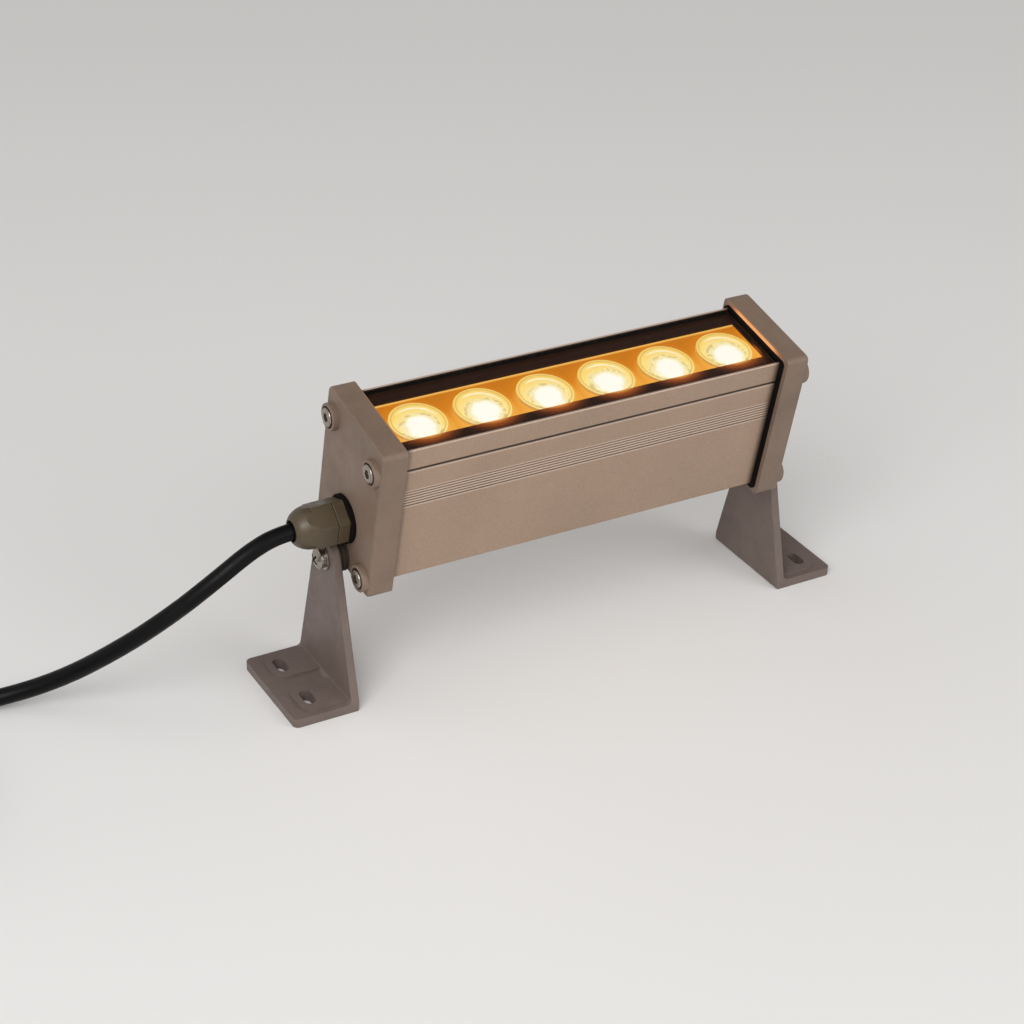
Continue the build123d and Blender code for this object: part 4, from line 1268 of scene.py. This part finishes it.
class WASHER_OT_housing(Operator):
    """Finish the extruded housing and its two rubber end gaskets"""

    bl_idname = "washer.housing"
    bl_label = "Housing"

    def execute(self, context):
        housing = fair_copy("housing", "housing_extrusion")
        dressed(housing, "lamp", anodised(), "anodised", "housing")
        paint_nodes(black_rubber(), "end_gasket_left", "end_gasket_right")
        return {"FINISHED"}


class WASHER_OT_optics(Operator):
    """Finish the cover glass, its black seal, the lit tray, the lenses and the light sources"""

    bl_idname = "washer.optics"
    bl_label = "Glass, tray and lenses"

    def execute(self, context):
        glass = put(glass_plate(), LAMP)
        dressed(smooth(glass), "lamp", cover_glass(), "cover_glass", "glass_cover")
        glass.data.materials.append(black_rubber("bonded_edge"))
        with editing(glass, "FACE"):
            up = LAMP.to_3x3() @ Vector((0, 0, 1))
            select_faces(glass, lambda middle, normal: abs(normal.dot(up)) < 0.1)
            glass.active_material_index = 1
            bpy.ops.object.material_slot_assign()
        paint_nodes(glass_border(), "glass_seal")
        paint_nodes(lit_tray(), "lens_tray")
        lit = lit_lens()
        lens = collimator()
        for i in range(LED_COUNT):
            x = (LED_MID + LED_PITCH * (i - (LED_COUNT - 1) / 2)) * MM
            made = put(copy_of(lens, f"collimator_{i + 1}"), LAMP @ Matrix.Translation((x, 0, 0)) @ UPRIGHT)
            dressed(smooth(made), "lamp", lit, "lens_clear", f"lens_{i + 1}")
        remove(lens)
        leds = [f"led_{i + 1}" for i in range(LED_COUNT)]
        paint_nodes(moulded("led_yellow", (0.85, 0.62, 0.12), 0.4), *leds)
        paint_nodes(moulded("board_white", (0.80, 0.80, 0.77), 0.4), "led_board")
        return {"FINISHED"}


class WASHER_OT_inside(Operator):
    """Finish the driver, the terminal block and the wires inside the housing"""

    bl_idname = "washer.inside"
    bl_label = "Driver and wiring"

    def execute(self, context):
        paint_nodes(moulded("board_green", (0.03, 0.17, 0.07), 0.4), "driver_board")
        paint_nodes(moulded("driver_dark", (0.02, 0.02, 0.022), 0.5), "driver_coil", "driver_chips")
        paint_nodes(moulded("capacitor_can", (0.60, 0.60, 0.60), 0.3, 1.0), "driver_capacitor")
        paint_nodes(moulded("terminal_green", (0.04, 0.26, 0.10), 0.45), "terminal_block")
        paint_nodes(moulded("core_insulation", (0.35, 0.03, 0.02), 0.4), "led_wires", "supply_wires")
        return {"FINISHED"}


class WASHER_OT_caps(Operator):
    """Model the cast end caps and their socket screws"""

    bl_idname = "washer.caps"
    bl_label = "End caps"

    def execute(self, context):
        cap = cap_casting()
        both_ends(cap, LAMP, cast_paint(), "cast_paint", "end_cap")
        both_ends(socket_screws(), LAMP, steel(), "steel", "cap_screws")
        return {"FINISHED"}


class WASHER_OT_feet(Operator):
    """Model the two feet and what each pivot is made of"""

    bl_idname = "washer.feet"
    bl_label = "Feet and pivots"

    def execute(self, context):
        # The feet's paint is the caps' paint made darker and cooler, as painted shade.
        paint = cast_paint("foot_paint_shaded", (0.80, 0.86, 1.0))
        metal = bpy.data.materials["bright_steel"]
        both_ends(foot_casting(), FEET, paint, "cast_paint", "bracket", "{}_bracket")
        both_ends(turning_screw(), LAMP, metal, "steel", "pivot_screw")
        washer = ring("turning_washer", *FLAT_WASHER, WASHER_R, 5.5, 0.12)
        both_ends(washer, LAMP, metal, "steel", "pivot_washer")
        both_ends(spring_washer(), LAMP, metal, "steel", "pivot_lock_washer")
        spacer_rubber = black_rubber("spacer_rubber", (0.040, 0.031, 0.022), 0.5)
        both_ends(turning_spacer(), LAMP, spacer_rubber, "rubber_black", "pivot_spacer")
        paint_nodes(metal, "board_screws")
        return {"FINISHED"}


class WASHER_OT_gland(Operator):
    """Model the cable gland at the left end, with its gasket and seal"""

    bl_idname = "washer.gland"
    bl_label = "Cable gland"

    def execute(self, context):
        nylon = gland_nylon()
        rubber = black_rubber("gasket_black")
        gasket = ring("rubber_gasket", CAP_OUT, FLANGE_OUT, GLAND_THREAD_R, 10.4, 0.3)
        grip = [(SEAL_IN, CABLE_R), (SEAL_IN, SEAL_R), (CABLE_EXIT_OUT - 0.4, SEAL_R)]
        grip += [(CABLE_EXIT_OUT, SEAL_R - 0.5), (CABLE_EXIT_OUT, CABLE_R)]
        seal = turned("rubber_seal", grip, ring=True)
        made = (
            (nylon_body(), nylon, "gland_nylon", "gland_body"),
            (nylon_nut(), nylon, "gland_nylon", "gland_nut"),
            (gasket, rubber, "rubber_black", "gland_gasket"),
            (seal, rubber, "rubber_black", "gland_seal"),
        )
        on_axis = LAMP @ LEFT @ Matrix.Translation((0, 0, GLAND_V * MM))
        for piece, finish, slot, stands_for in made:
            dressed(smooth(put(piece, on_axis)), "lamp", finish, slot, stands_for)
        paint_nodes(nylon, "gland_locknut")
        paint_nodes(cable_jacket(), "cable_entry")
        return {"FINISHED"}


CLASSES = (
    WasherFinish,
    WasherSizes,
    WasherStudio,
    WASHER_OT_stage,
    WASHER_OT_cable,
    WASHER_OT_housing,
    WASHER_OT_optics,
    WASHER_OT_inside,
    WASHER_OT_caps,
    WASHER_OT_feet,
    WASHER_OT_gland,
)


class WASHER_PT_panel(Panel):
    """The light's settings and the pieces in the order of making"""

    bl_label = "Wall Washer"
    bl_space_type = "VIEW_3D"
    bl_region_type = "UI"
    bl_category = "Wall Washer"

    def draw(self, context):
        scene = context.scene
        for settings in (scene.washer_finish, scene.washer_sizes, scene.washer_studio):
            box = self.layout.box()
            for name in settings.__annotations__:
                box.prop(settings, name)
        column = self.layout.column(align=True)
        for operator in CLASSES[3:]:
            column.operator(operator.bl_idname)


def register():
    for made in (*CLASSES, WASHER_PT_panel):
        bpy.utils.register_class(made)
    bpy.types.Scene.washer_finish = PointerProperty(type=WasherFinish)
    bpy.types.Scene.washer_sizes = PointerProperty(type=WasherSizes)
    bpy.types.Scene.washer_studio = PointerProperty(type=WasherStudio)


def unregister():
    del bpy.types.Scene.washer_studio
    del bpy.types.Scene.washer_sizes
    del bpy.types.Scene.washer_finish
    for made in reversed((*CLASSES, WASHER_PT_panel)):
        bpy.utils.unregister_class(made)


def main():
    register()
    bpy.ops.washer.stage()
    bpy.ops.washer.cable()
    bpy.ops.washer.housing()
    bpy.ops.washer.optics()
    bpy.ops.washer.inside()
    bpy.ops.washer.caps()
    bpy.ops.washer.feet()
    bpy.ops.washer.gland()


if __name__ == "__main__":
    main()
